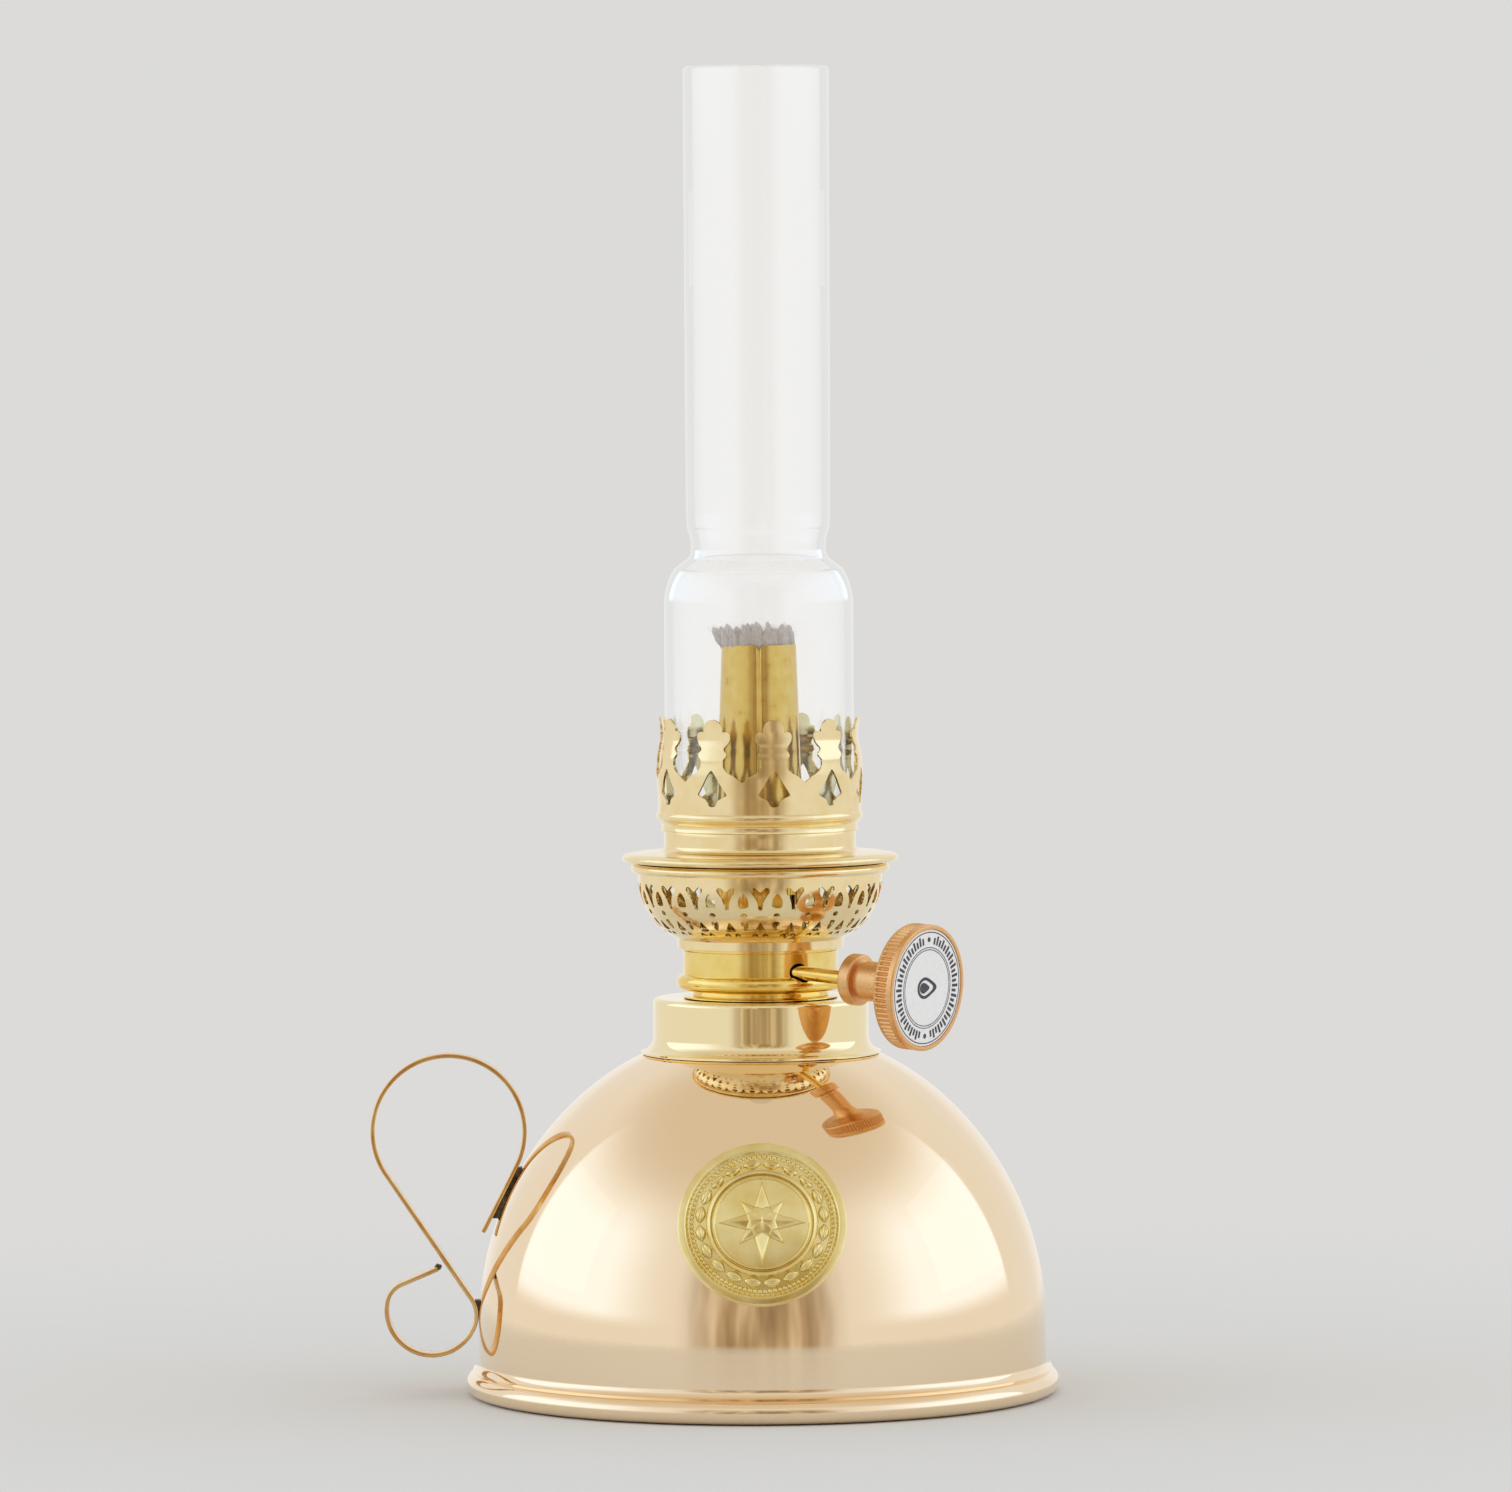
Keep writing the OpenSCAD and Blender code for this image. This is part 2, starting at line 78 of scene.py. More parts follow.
def add(tree, kind, inputs=None, **settings):
    """Adds a node. An input's value is either a plain value or another node's output to link."""
    node = tree.nodes.new(kind)
    for name, value in settings.items():
        setattr(node, name, value)
    for key, value in (inputs or {}).items():
        if isinstance(value, bpy.types.NodeSocket):
            tree.links.new(value, node.inputs[key])
        else:
            node.inputs[key].default_value = value
    return node


def ramp(tree, value, *stops):
    """A colour ramp through (place, hex colour) stops, fed by value."""
    node = add(tree, "ShaderNodeValToRGB", {"Fac": value})
    elements = node.color_ramp.elements
    while len(elements) < len(stops):
        elements.new(0.5)
    for element, (place, hex_colour) in zip(elements, stops):
        element.position = place
        element.color = linear(hex_colour)
    return node.outputs["Color"]


def blank(name):
    """A new material with its Principled shader and the object's own coordinates, in metres."""
    material = bpy.data.materials.new(name)
    material.use_nodes = True
    tree = material.node_tree
    place = add(tree, "ShaderNodeTexCoord").outputs["Object"]
    return material, tree, tree.nodes["Principled BSDF"], place


def surface(tree, shader, height, depth_mm, roughness, low, high):
    """Gives a shader a bump of a real depth, and a roughness that varies between two values."""
    bump = add(tree, "ShaderNodeBump", {"Height": height, "Strength": 1.0, "Distance": depth_mm * MM})
    spread = add(tree, "ShaderNodeMapRange", {"Value": roughness, "To Min": low, "To Max": high})
    tree.links.new(bump.outputs["Normal"], shader.inputs["Normal"])
    tree.links.new(spread.outputs["Result"], shader.inputs["Roughness"])


def per_metre(size_mm):
    """The scale that repeats a pattern once every size_mm."""
    return 1 / (size_mm * MM)


def mottle(tree, vector, size_mm, detail):
    """Noise with spots of about size_mm."""
    inputs = {"Vector": vector, "Scale": per_metre(size_mm), "Detail": detail}
    return add(tree, "ShaderNodeTexNoise", inputs).outputs["Fac"]


def stretched(tree, vector, scale):
    """The same place, scaled along each axis."""
    return add(tree, "ShaderNodeVectorMath", {0: vector, 1: scale}, operation="MULTIPLY").outputs[0]


def maths(tree, operation, first, second):
    """One sum of two values."""
    return add(tree, "ShaderNodeMath", {0: first, 1: second}, operation=operation).outputs[0]


# %% [markdown]
# ## Brass, six ways
#
# Brass is copper with zinc. All of the lamp's metal is brass, but each piece was worked in its
# own way, and that is what the eye reads. The font was spun on a lathe, mirror polished and
# lacquered. The burner was pressed, dipped and buffed, and its folds reflect each other, which
# makes it look a deeper yellow. On the neck that deeper yellow is also painted in, as painted
# reflection in a more saturated copy of the burner brass. The wick tube was drawn, so its marks
# run along it. The knob was turned and left matt. The medallion was struck between dies. The
# handle is rolled strip.
#
# A metal has no diffuse colour: its base colour is the colour of its reflection. So each brass
# is metallic 1.0 with its own tint, and the differences come from roughness and from fine marks.

# %% Ring coordinates for turned and spun metal
def rings_about_axis(tree, place, frame_point=None, frame_axis=None):
    """Coordinates that only change across a turned surface: distance from the axis, and along it."""
    if frame_axis is not None:
        place = add(tree, "ShaderNodeVectorMath", {0: place, 1: frame_point},
                    operation="SUBTRACT").outputs[0]
    axis = frame_axis if frame_axis is not None else Vector((0, 0, 1))
    along = add(tree, "ShaderNodeVectorMath", {0: place, 1: axis}, operation="DOT_PRODUCT").outputs["Value"]
    foot = add(tree, "ShaderNodeVectorMath", {0: axis, "Scale": along}, operation="SCALE").outputs[0]
    across = add(tree, "ShaderNodeVectorMath", {0: place, 1: foot}, operation="DISTANCE").outputs["Value"]
    return add(tree, "ShaderNodeCombineXYZ", {"X": across, "Y": along}).outputs[0]


# %% Spun, mirror polished and lacquered brass
def spun_brass(name, tint):
    """Font and collar: a mirror with a broad, faint unevenness left by the spinning tool."""
    material, tree, shader, place = blank(name)
    shader.inputs["Base Color"].default_value = linear(tint)
    shader.inputs["Metallic"].default_value = 1.0
    shader.inputs["Coat Weight"].default_value = 0.15
    shader.inputs["Coat Roughness"].default_value = 0.03
    rings = rings_about_axis(tree, place)
    tool = mottle(tree, rings, 5, 2.0)
    broad = mottle(tree, place, 24, 1.0)
    both = add(tree, "ShaderNodeMath", {0: broad, 1: 6.0, 2: tool}, operation="MULTIPLY_ADD").outputs[0]
    haze = mottle(tree, place, 9, 4.0)
    surface(tree, shader, both, 0.006, haze, 0.025, 0.06)
    return material


# %% Pressed and buffed burner brass
def buffed_brass(name, low, middle, high):
    """The burner: warmer and less perfect, with buffing marks and faint heat colour."""
    material, tree, shader, place = blank(name)
    shader.inputs["Metallic"].default_value = 1.0
    rings = rings_about_axis(tree, place)
    marks = mottle(tree, rings, 0.5, 3.0)
    patches = mottle(tree, place, 7, 4.0)
    colour = ramp(tree, patches, (0.3, low), (0.55, middle), (0.8, high))
    tree.links.new(colour, shader.inputs["Base Color"])
    surface(tree, shader, marks, 0.004, patches, 0.07, 0.16)
    return material


# %% Drawn brass for tube, shaft and inner pieces
def drawn_brass():
    """Tubes and rods pulled through a die: the marks run along the piece, with small stains."""
    material, tree, shader, place = blank("drawn_brass")
    shader.inputs["Metallic"].default_value = 1.0
    drawn_out = stretched(tree, place, (1.0, 1.0, 0.04))
    marks = mottle(tree, drawn_out, 0.7, 3.0)
    stains = mottle(tree, place, 2.2, 5.0)
    colour = ramp(tree, stains, (0.25, "#D9A24C"), (0.38, "#F0C868"), (0.7, "#F5D680"))
    tree.links.new(colour, shader.inputs["Base Color"])
    surface(tree, shader, marks, 0.012, marks, 0.10, 0.24)
    return material


# %% Turned, matt knob brass
def matt_brass(name, origin, axis):
    """The knob: a redder brass, turned and blasted matt, with rings from the lathe tool."""
    material, tree, shader, place = blank(name)
    shader.inputs["Metallic"].default_value = 1.0
    rings = rings_about_axis(tree, place, origin, axis)
    turning = mottle(tree, rings, 0.22, 2.0)
    grain = mottle(tree, place, 0.35, 4.0)
    both = maths(tree, "ADD", turning, grain)
    colour = ramp(tree, grain, (0.3, "#E2AC70"), (0.7, "#F0C28A"))
    tree.links.new(colour, shader.inputs["Base Color"])
    surface(tree, shader, both, 0.012, grain, 0.30, 0.42)
    return material


# %% Struck medallion brass
def struck_brass():
    """The medallion: struck in a die, a satin brass whose colour and roughness vary in soft clouds."""
    material, tree, shader, place = blank("struck_brass")
    shader.inputs["Metallic"].default_value = 1.0
    grain = mottle(tree, place, 0.25, 3.0)
    cloud = mottle(tree, place, 4, 3.0)
    colour = ramp(tree, cloud, (0.3, "#E8D288"), (0.7, "#F4E4A8"))
    tree.links.new(colour, shader.inputs["Base Color"])
    surface(tree, shader, grain, 0.005, cloud, 0.14, 0.22)
    return material


# %% Rolled strip brass for the handle
def strip_brass():
    """The handle: rolled strip, in a cloudy brown to yellow tone, with rolling marks along it."""
    material, tree, shader, place = blank("rolled_strip_brass")
    shader.inputs["Metallic"].default_value = 1.0
    cloud = mottle(tree, place, 5, 4.0)
    marks = stretched(tree, place, (0.1, 1.0, 0.1))
    lines = mottle(tree, marks, 0.4, 2.0)
    colour = ramp(tree, cloud, (0.3, "#D2A05A"), (0.65, "#EBC88C"))
    tree.links.new(colour, shader.inputs["Base Color"])
    surface(tree, shader, lines, 0.004, cloud, 0.10, 0.22)
    return material


# %% [markdown]
# ## Solder, leather, enamel, print, cotton and glass
#
# The other finishes are not brass. Soft solder goes grey and dull. The washer is oiled leather.
# The knob's face is stove enamel, white and glossy, with a printed ring. Cotton scatters light
# between its fibres, so it gets sheen and a woven bump. The chimney is clear glass, whose look
# is nearly all refraction, so its shape matters more than its nodes.

# %% Solder and washer
def soft_solder():
    """Tin and lead solder: dull grey, lumpy, and dark where flux stayed on it."""
    material, tree, shader, place = blank("soft_solder")
    shader.inputs["Metallic"].default_value = 0.8
    lumps = mottle(tree, place, 0.8, 5.0)
    colour = ramp(tree, lumps, (0.3, "#3A332C"), (0.6, "#7C6E5E"), (0.8, "#A8927A"))
    tree.links.new(colour, shader.inputs["Base Color"])
    surface(tree, shader, lumps, 0.15, lumps, 0.35, 0.6)
    return material


def oiled_leather():
    """The washer: leather cut across, dark with oil."""
    material, tree, shader, place = blank("oiled_leather")
    grain = add(tree, "ShaderNodeTexVoronoi",
                {"Vector": place, "Scale": per_metre(0.6)}).outputs["Distance"]
    colour = ramp(tree, grain, (0.0, "#3B2416"), (1.0, "#5E3D26"))
    tree.links.new(colour, shader.inputs["Base Color"])
    surface(tree, shader, grain, 0.05, grain, 0.45, 0.6)
    return material


# %% Enamel and print
def stove_enamel():
    """Fired white enamel: glassy, with the slightest orange peel."""
    material, tree, shader, place = blank("white_stove_enamel")
    shader.inputs["Coat Weight"].default_value = 0.5
    shader.inputs["Coat Roughness"].default_value = 0.08
    peel = mottle(tree, place, 1.2, 2.0)
    colour = ramp(tree, peel, (0.2, "#F8F8F9"), (0.8, "#FDFDFD"))
    tree.links.new(colour, shader.inputs["Base Color"])
    surface(tree, shader, peel, 0.01, peel, 0.22, 0.34)
    return material


def printed_ink():
    """Black printed ink on the enamel, a little worn and grey."""
    material, tree, shader, place = blank("printed_black_ink")
    wear = mottle(tree, place, 0.7, 4.0)
    colour = ramp(tree, wear, (0.3, "#2E2A31"), (0.75, "#55505A"))
    tree.links.new(colour, shader.inputs["Base Color"])
    surface(tree, shader, wear, 0.005, wear, 0.4, 0.55)
    return material


# %% Cotton
def cotton(name, thread_mm):
    """Undyed cotton: off-white with a pink-grey cast, soft sheen, and threads of a real pitch."""
    material, tree, shader, place = blank(name)
    shader.inputs["Sheen Weight"].default_value = 0.4
    shader.inputs["Sheen Roughness"].default_value = 0.5
    warp = add(tree, "ShaderNodeTexWave",
               {"Vector": place, "Scale": per_metre(thread_mm) / 6.3, "Distortion": 2.0,
                "Detail": 2.0, "Detail Scale": 1.5}, bands_direction="Z").outputs["Fac"]
    fibres = mottle(tree, place, 0.5, 6.0)
    both = maths(tree, "ADD", warp, fibres)
    colour = ramp(tree, fibres, (0.25, "#F2E6E2"), (0.5, "#FAF4F1"), (0.8, "#FEFCFA"))
    tree.links.new(colour, shader.inputs["Base Color"])
    surface(tree, shader, both, 0.04, fibres, 0.85, 0.95)
    through = add(tree, "ShaderNodeBsdfTranslucent", {"Color": colour}).outputs["BSDF"]
    fluffy = add(tree, "ShaderNodeMixShader",
                 {0: 0.4, 1: shader.outputs["BSDF"], 2: through}).outputs["Shader"]
    tree.links.new(fluffy, tree.nodes["Material Output"].inputs["Surface"])
    return material


# %% Glass
def blown_glass():
    """Clear blown tube. It bends the view through it. Rays on their way to light something, and
    rays mirrored by another piece, go straight through, so that the wick isn't left dark."""
    material, tree, shader, place = blank("clear_blown_glass")
    shader.inputs["Base Color"].default_value = linear("#FFFFFF")
    shader.inputs["Transmission Weight"].default_value = 1.0
    shader.inputs["IOR"].default_value = 1.47
    haze = mottle(tree, place, 9, 1.0)
    spread = add(tree, "ShaderNodeMapRange",
                 {"Value": haze, "To Min": 0.0, "To Max": 0.012}).outputs["Result"]
    tree.links.new(spread, shader.inputs["Roughness"])
    path = add(tree, "ShaderNodeLightPath")
    soft = maths(tree, "MAXIMUM", path.outputs["Is Shadow Ray"], path.outputs["Is Diffuse Ray"])
    sharp = maths(tree, "SUBTRACT", path.outputs["Is Glossy Ray"], path.outputs["Is Transmission Ray"])
    lit = maths(tree, "MAXIMUM", soft, sharp)
    through = add(tree, "ShaderNodeBsdfTransparent", {"Color": linear("#F4F6F6")}).outputs["BSDF"]
    both = add(tree, "ShaderNodeMixShader",
               {0: lit, 1: shader.outputs["BSDF"], 2: through}).outputs["Shader"]
    tree.links.new(both, tree.nodes["Material Output"].inputs["Surface"])
    return material


SPUN = spun_brass("spun_lacquered_brass", "#FBE4C2")
COLLAR_BRASS = spun_brass("spun_yellow_brass", "#FAE8B8")
BUFFED = buffed_brass("pressed_buffed_brass", "#F2DAA0", "#F8E4B4", "#EFD292")
# The neck's brass is a deeper, more saturated copy of the burner brass: painted reflection of the brass
# around it, added to the reflections the render really makes.
NECK_BRASS_PAINTED_REFLECTION = buffed_brass("neck_brass_painted_reflection", "#F0CC68", "#F6DC8A", "#EAC45C")
DRAWN = drawn_brass()
STRUCK, STRIP, SOLDER, LEATHER = struck_brass(), strip_brass(), soft_solder(), oiled_leather()
ENAMEL, INK, GLASS = stove_enamel(), printed_ink(), blown_glass()
COTTON, FRAYED = cotton("woven_cotton", 1.0), cotton("frayed_cotton", 0.4)
print("materials:", len(bpy.data.materials))

# %% [markdown]
# ## Turning shapes on a lathe
#
# Nearly every piece of this lamp was made by turning or spinning, so the main tool is a lathe:
# a closed outline in (radius, height), carried round the axis. Blender's Screw modifier could
# do it, but a small function also lets the outline change with the angle, which is what a screw
# thread, a knurl or a seam needs. Mirror polish shows every flat, so there are many steps.

# %% Mesh helpers
def finish_mesh(mesh, material, sharp_degrees=32):
    """Smooth shading that keeps edges steeper than sharp_degrees crisp."""
    work = bmesh.new()
    work.from_mesh(mesh)
    bmesh.ops.remove_doubles(work, verts=work.verts, dist=0.0005 * MM)
    bmesh.ops.dissolve_degenerate(work, edges=work.edges, dist=0.0001 * MM)
    bmesh.ops.recalc_face_normals(work, faces=work.faces)
    work.to_mesh(mesh)
    work.free()
    mesh.shade_smooth()
    mesh.set_sharp_from_angle(angle=math.radians(sharp_degrees))
    mesh.materials.clear()
    mesh.materials.append(material)


def new_piece(name, verts, faces, material, matrix=None):
    """Links a mesh object made from points in millimetres."""
    mesh = bpy.data.meshes.new(name)
    mesh.from_pydata([Vector(v) * MM for v in verts], [], faces)
    finish_mesh(mesh, material)
    if matrix is not None:
        mesh.transform(matrix)
    piece = bpy.data.objects.new(name, mesh)
    bpy.context.scene.collection.objects.link(piece)
    return piece


def lathe(name, outline, material, steps=192, matrix=None):
    """Turns a closed outline of (radius, height) points. It may be a function of the angle."""
    shape = outline if callable(outline) else lambda angle: outline
    verts, faces = [], []
    for i in range(steps):
        angle = 2 * math.pi * i / steps
        points = shape(angle)
        verts += [(r * math.cos(angle), r * math.sin(angle), z) for r, z in points]
    count = len(points)
    for i in range(steps):
        here, there = i * count, (i + 1) % steps * count
        for j in range(count):
            k = (j + 1) % count
            faces.append((here + j, there + j, there + k, here + k))
    return new_piece(name, verts, faces, material, matrix)


def arc(r, z, radius, start, end, count=12):
    """Points on an arc about (r, z), from one angle to another in degrees."""
    angles = [math.radians(start + (end - start) * i / count) for i in range(count + 1)]
    return [(r + radius * math.cos(a), z + radius * math.sin(a)) for a in angles]


def joined(name, *pieces):
    """Makes one object of several, keeping their materials."""
    bpy.ops.object.select_all(action="DESELECT")
    for piece in pieces:
        piece.select_set(True)
    bpy.context.view_layer.objects.active = pieces[0]
    bpy.ops.object.join()
    pieces[0].name = pieces[0].data.name = name
    return pieces[0]


def mount(piece, body, slot, *nodes):
    """Sets what a piece rides on and hides the CAD nodes it stands for. The slot is not used."""
    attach(piece, body)
    if nodes:
        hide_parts(*nodes)
    print(f"{piece.name}: {len(piece.data.vertices)} points on {body}")


# %% [markdown]
# ## The font
#
# The font is one sheet of brass, spun over a wooden former: a straight wall that runs into a
# dome, and at the foot a bead rolled over a wire with a small cove above it. The dome's outline
# is two arcs with a common tangent, so the mirror has no break in it. The inside is the same
# outline, sunk by the thickness of the sheet.

# %% Font outline
FOOT_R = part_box("font_shell")[1].x / MM
BEAD_R = 2.0
FONT_R = FOOT_R - BEAD_R - 0.4
SHEET = 0.8
WALL_Z = 12.0
NECK_HOLE_R = 14.6
SIDE_R, SIDE_X = FONT_R + 4.8, -4.8
TOP_R = FONT_R - 1.96
TOP_Z = WALL_Z + math.sqrt((SIDE_R - TOP_R) ** 2 - SIDE_X ** 2)
JOIN_ANGLE = math.degrees(math.atan2(TOP_Z - WALL_Z, -SIDE_X))


def dome_line(inset, steps=48):
    """The dome from the wall to the neck hole, sunk inwards by inset."""
    neck_angle = math.degrees(math.acos(NECK_HOLE_R / (TOP_R - inset)))
    lower = arc(SIDE_X, WALL_Z, SIDE_R - inset, 0, JOIN_ANGLE, steps)
    return lower + arc(0, TOP_Z, TOP_R - inset, JOIN_ANGLE, neck_angle, steps)[1:]


def dome_surface(point, height):
    """The point and outward direction on the dome nearest to a point, raised by height."""
    flat = Vector((point.x, point.y, 0))
    around = flat.normalized()
    centre_r, centre_z, radius = SIDE_X, WALL_Z, SIDE_R
    if math.degrees(math.atan2(point.z - WALL_Z, flat.length - SIDE_X)) > JOIN_ANGLE:
        centre_r, centre_z, radius = 0.0, TOP_Z, TOP_R
    out = Vector((flat.length - centre_r, 0, point.z - centre_z)).normalized()
    r, z = centre_r + (radius + height) * out.x, centre_z + (radius + height) * out.z
    return Vector((around.x * r, around.y * r, z))


# %% Spin the font
bead_centre_r = FOOT_R - BEAD_R
cove_r = 1.6
font_outline = (
    [(FONT_R - SHEET, BEAD_R + 1.9)]
    + arc(bead_centre_r, BEAD_R, BEAD_R, 120, 420, 40)
    + [(bead_centre_r + 0.35, BEAD_R + 2.0)]
    + arc(FONT_R + cove_r, BEAD_R + 4, cove_r, 250, 180, 12)
    + dome_line(0)
    + dome_line(SHEET)[::-1])
font = lathe("font_spun", font_outline, SPUN, steps=288)
mount(font, "font", "font_brass", "font_shell")

# %% [markdown]
# ## The collar
#
# The collar is a second spinning. Its skirt spreads onto the dome and is soldered there, its
# band is straight, and its top turns in over a soft edge to a seat for the burner. A thin shadow
# shows where the skirt ends, because the sheet stands a little proud of the dome.

# %% Spin the collar
COLLAR_R = 19.4
COLLAR_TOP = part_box("font_collar")[1].z / MM
SKIRT_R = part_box("font_collar")[1].x / MM
skirt_z = TOP_Z + math.sqrt(TOP_R ** 2 - SKIRT_R ** 2) + 0.15
skirt_cove = SKIRT_R - COLLAR_R
edge_r = 0.9
collar_outline = (
    [(SKIRT_R - 0.1, skirt_z), (SKIRT_R, skirt_z + 0.12), (SKIRT_R, skirt_z + 0.5)]
    + arc(COLLAR_R + skirt_cove + 0.6, skirt_z + 3.1, skirt_cove + 0.6, 262, 180, 14)
    + arc(COLLAR_R - edge_r, COLLAR_TOP - edge_r, edge_r, 0, 90, 10)
    + arc(13.9, COLLAR_TOP - 0.25, 0.25, 90, 180, 4)
    + [(13.65, COLLAR_TOP - SHEET), (COLLAR_R - SHEET - 0.4, COLLAR_TOP - SHEET),
       (COLLAR_R - SHEET, COLLAR_TOP - SHEET - 0.4), (COLLAR_R - SHEET, skirt_z + 2.6),
       (SKIRT_R - 1.4, skirt_z + 0.75)])
collar = lathe("collar_spun", collar_outline, COLLAR_BRASS, steps=256)
mount(collar, "font", "font_brass", "font_collar")

# %% [markdown]
# ## The medallion
#
# The medallion was struck between two dies, then bent to the dome and soldered on. A struck
# relief is a height over every point of the disc, so it is written as one: a rounded rim, a line
# of pearls, a ring of leaves, a raised ring, and an eight-pointed star on a satin ground. The
# disc is a fine polar grid, and each of its points is lifted off the dome by its height.

# %% Relief of the medallion
MEDAL_R = 15.5
MEDAL_TILT = math.radians(24.1)
MEDAL_MIDDLE = Vector((0, -46.3, 35))
MEDAL_RIGHT = Vector((1, 0, 0))
MEDAL_UP = Vector((0, math.sin(MEDAL_TILT), math.cos(MEDAL_TILT)))


def step_up(value, start, end):
    """0 below start, 1 above end and a smooth rise between them."""
    share = min(1.0, max(0.0, (value - start) / (end - start)))
    return share * share * (3 - 2 * share)


def hump(value, middle, half_width):
    """A round-topped ridge of height 1 about middle."""
    share = (value - middle) / half_width
    return math.sqrt(1 - share * share) if abs(share) < 1 else 0.0


def leaf(r, angle, count, middle_r, length, width):
    """Leaves that follow each other round a ring, each with a vein."""
    pitch = 2 * math.pi / count
    along = ((angle / pitch) % 1.0 - 0.5) * pitch * middle_r
    across = r - middle_r
    room = 1 - (2 * along / length) ** 2
    if room <= 0:
        return 0.0
    edge = width / 2 * room
    if abs(across) >= edge:
        return 0.0
    body = math.sqrt(1 - (across / edge) ** 2) * math.sqrt(room)
    return body * (0.75 + 0.25 * step_up(abs(across), 0.05, 0.3))


def star(r, angle, points, outer, inner):
    """A faceted star: each point falls from a ridge along its middle."""
    turn = math.pi / points
    off = abs((angle + turn) % (2 * turn) - turn)
    edge = outer * inner * math.sin(turn) / (
        inner * math.sin(turn - off) + outer * math.sin(off)) if off < turn else inner
    if r >= edge:
        return 0.0
    return (1 - r / edge) ** 0.35 * (1 - 0.55 * off / turn)


def relief(r, angle):
    """Height of the medallion above the dome."""
    height = 0.15 + 0.2 * step_up(r, 9.3, 9.7)
    height += 0.8 * step_up(r, 13.2, 13.9) * (0.7 + 0.3 * hump(r, 14.5, 1.2))
    height += 0.75 * hump(r, 9.5, 0.5)
    pearl_pitch = 2 * math.pi / 88
    pearl = math.hypot((((angle / pearl_pitch) % 1.0) - 0.5) * pearl_pitch * 12.65, r - 12.65)
    height += 0.4 * hump(pearl, 0, 0.4)
    height += 0.8 * leaf(r, angle, 20, 11.1, 3.2, 1.9)
    height += 0.95 * star(r, angle, 4, 7.6, 2.4)
    height += 0.8 * star(r, angle + math.pi / 4, 4, 5.6, 2.2)
    height += 0.45 * hump(r, 8.5, 0.3)
    return height * (1 - step_up(r, MEDAL_R - 0.35, MEDAL_R)) if r < MEDAL_R else -0.3


# %% Strike the medallion
medal_rings = [0.11 * i for i in range(1, 141)] + [15.45, MEDAL_R, MEDAL_R + 0.01]
medal_steps = 528
medal_verts, medal_faces = [], []
for r in [0.0] + medal_rings:
    for j in range(medal_steps if r else 1):
        angle = 2 * math.pi * j / medal_steps
        flat = MEDAL_MIDDLE + r * (math.cos(angle) * MEDAL_RIGHT + math.sin(angle) * MEDAL_UP)
        medal_verts.append(dome_surface(flat, relief(r, angle)))
for j in range(medal_steps):
    medal_faces.append((0, 1 + j, 1 + (j + 1) % medal_steps))
for i in range(len(medal_rings) - 1):
    here, there = 1 + i * medal_steps, 1 + (i + 1) * medal_steps
    for j in range(medal_steps):
        k = (j + 1) % medal_steps
        medal_faces.append((here + j, there + j, there + k, here + k))
medal = new_piece("medallion_struck", medal_verts, medal_faces, STRUCK)
mount(medal, "font", "medal_brass", "medallion")

# %% [markdown]
# ## The handle
#
# The handle is one flat strip. Its middle line is drawn the way it was bent, as a turtle walks:
# a straight run along the dome, three quarters of a loop for the fingers, a straight run down,
# an S and a small curl. A rounded rectangle is swept along that line.

# %% Bend the strip
STRIP_W, STRIP_T = 4.6, 0.75
strip_runs = ((13.4, 0), (13.7, 241), (27.3, 0), (5.3, -55), (8.2, -168.5), (4.3, -57.5), (7.2, 0))


def walk(start, heading, runs, turn_step=3.0):
    """Points and headings of a line made of straight runs (length, 0) and bends (radius, angle)."""
    place, places = Vector(start), [(Vector(start), math.radians(heading))]
    direction = math.radians(heading)
    for size, turn in runs:
        count = max(1, math.ceil(abs(turn) / turn_step)) if turn else 8
        for _ in range(count):
            half = math.radians(turn) / count / 2
            chord = size / count if not turn else 2 * size * abs(math.sin(half))
            direction += half
            place = place + chord * Vector((math.cos(direction), math.sin(direction)))
            direction += half
            places.append((place.copy(), direction))
    return places


def rounded_box(width, thickness, radius, corner_steps=4):
    """Outline of a rounded rectangle about the origin."""
    outline = []
    for k, (sx, sy) in enumerate(((1, 1), (-1, 1), (-1, -1), (1, -1))):
        centre = (sx * (width / 2 - radius), sy * (thickness / 2 - radius))
        outline += arc(*centre, radius, 90 * k, 90 * k + 90, corner_steps)
    return outline


strip_line = walk((-50.25, 29.2), 63, strip_runs)
strip_section = rounded_box(STRIP_W, STRIP_T, 0.22)
strip_verts = []
for place, direction in strip_line:
    out = Vector((-math.sin(direction), math.cos(direction)))
    for across, off in strip_section:
        strip_verts.append((place.x + off * out.x, across, place.y + off * out.y))
count = len(strip_section)
strip_faces = [tuple(range(count))[::-1], tuple(range(len(strip_verts) - count, len(strip_verts)))]
for i in range(len(strip_line) - 1):
    for j in range(count):
        k = (j + 1) % count
        strip_faces.append((i * count + j, i * count + k, (i + 1) * count + k, (i + 1) * count + j))
handle = new_piece("handle_bent", strip_verts, strip_faces, STRIP)
mount(handle, "font", "strap_brass", "handle_strap")

# %% [markdown]
# ## The burner's body
#
# The burner screws into the collar. Its neck carries a rolled thread, which is a helix and not a
# row of rings: the depth at a point depends on its height less the pitch's share of its angle.
# Above the neck comes a rolled bead and a plain band, with the hole for the raiser shaft.

# %% The shaft's own axes
knob_joint = JOINTS["knob_turn"]
SHAFT_POINT = Vector(knob_joint["pos_m"])
SHAFT_AXIS = Vector(knob_joint["axis"]).normalized()
to_axis = Vector((-SHAFT_POINT.x, -SHAFT_POINT.y, 0))
shaft_y = (to_axis - to_axis.dot(SHAFT_AXIS) * SHAFT_AXIS).normalized()
shaft_x = shaft_y.cross(SHAFT_AXIS)
ON_SHAFT = Matrix((shaft_x, shaft_y, SHAFT_AXIS)).transposed().to_4x4()
ON_SHAFT.translation = SHAFT_POINT
print("shaft from", SHAFT_POINT, "towards", SHAFT_AXIS)


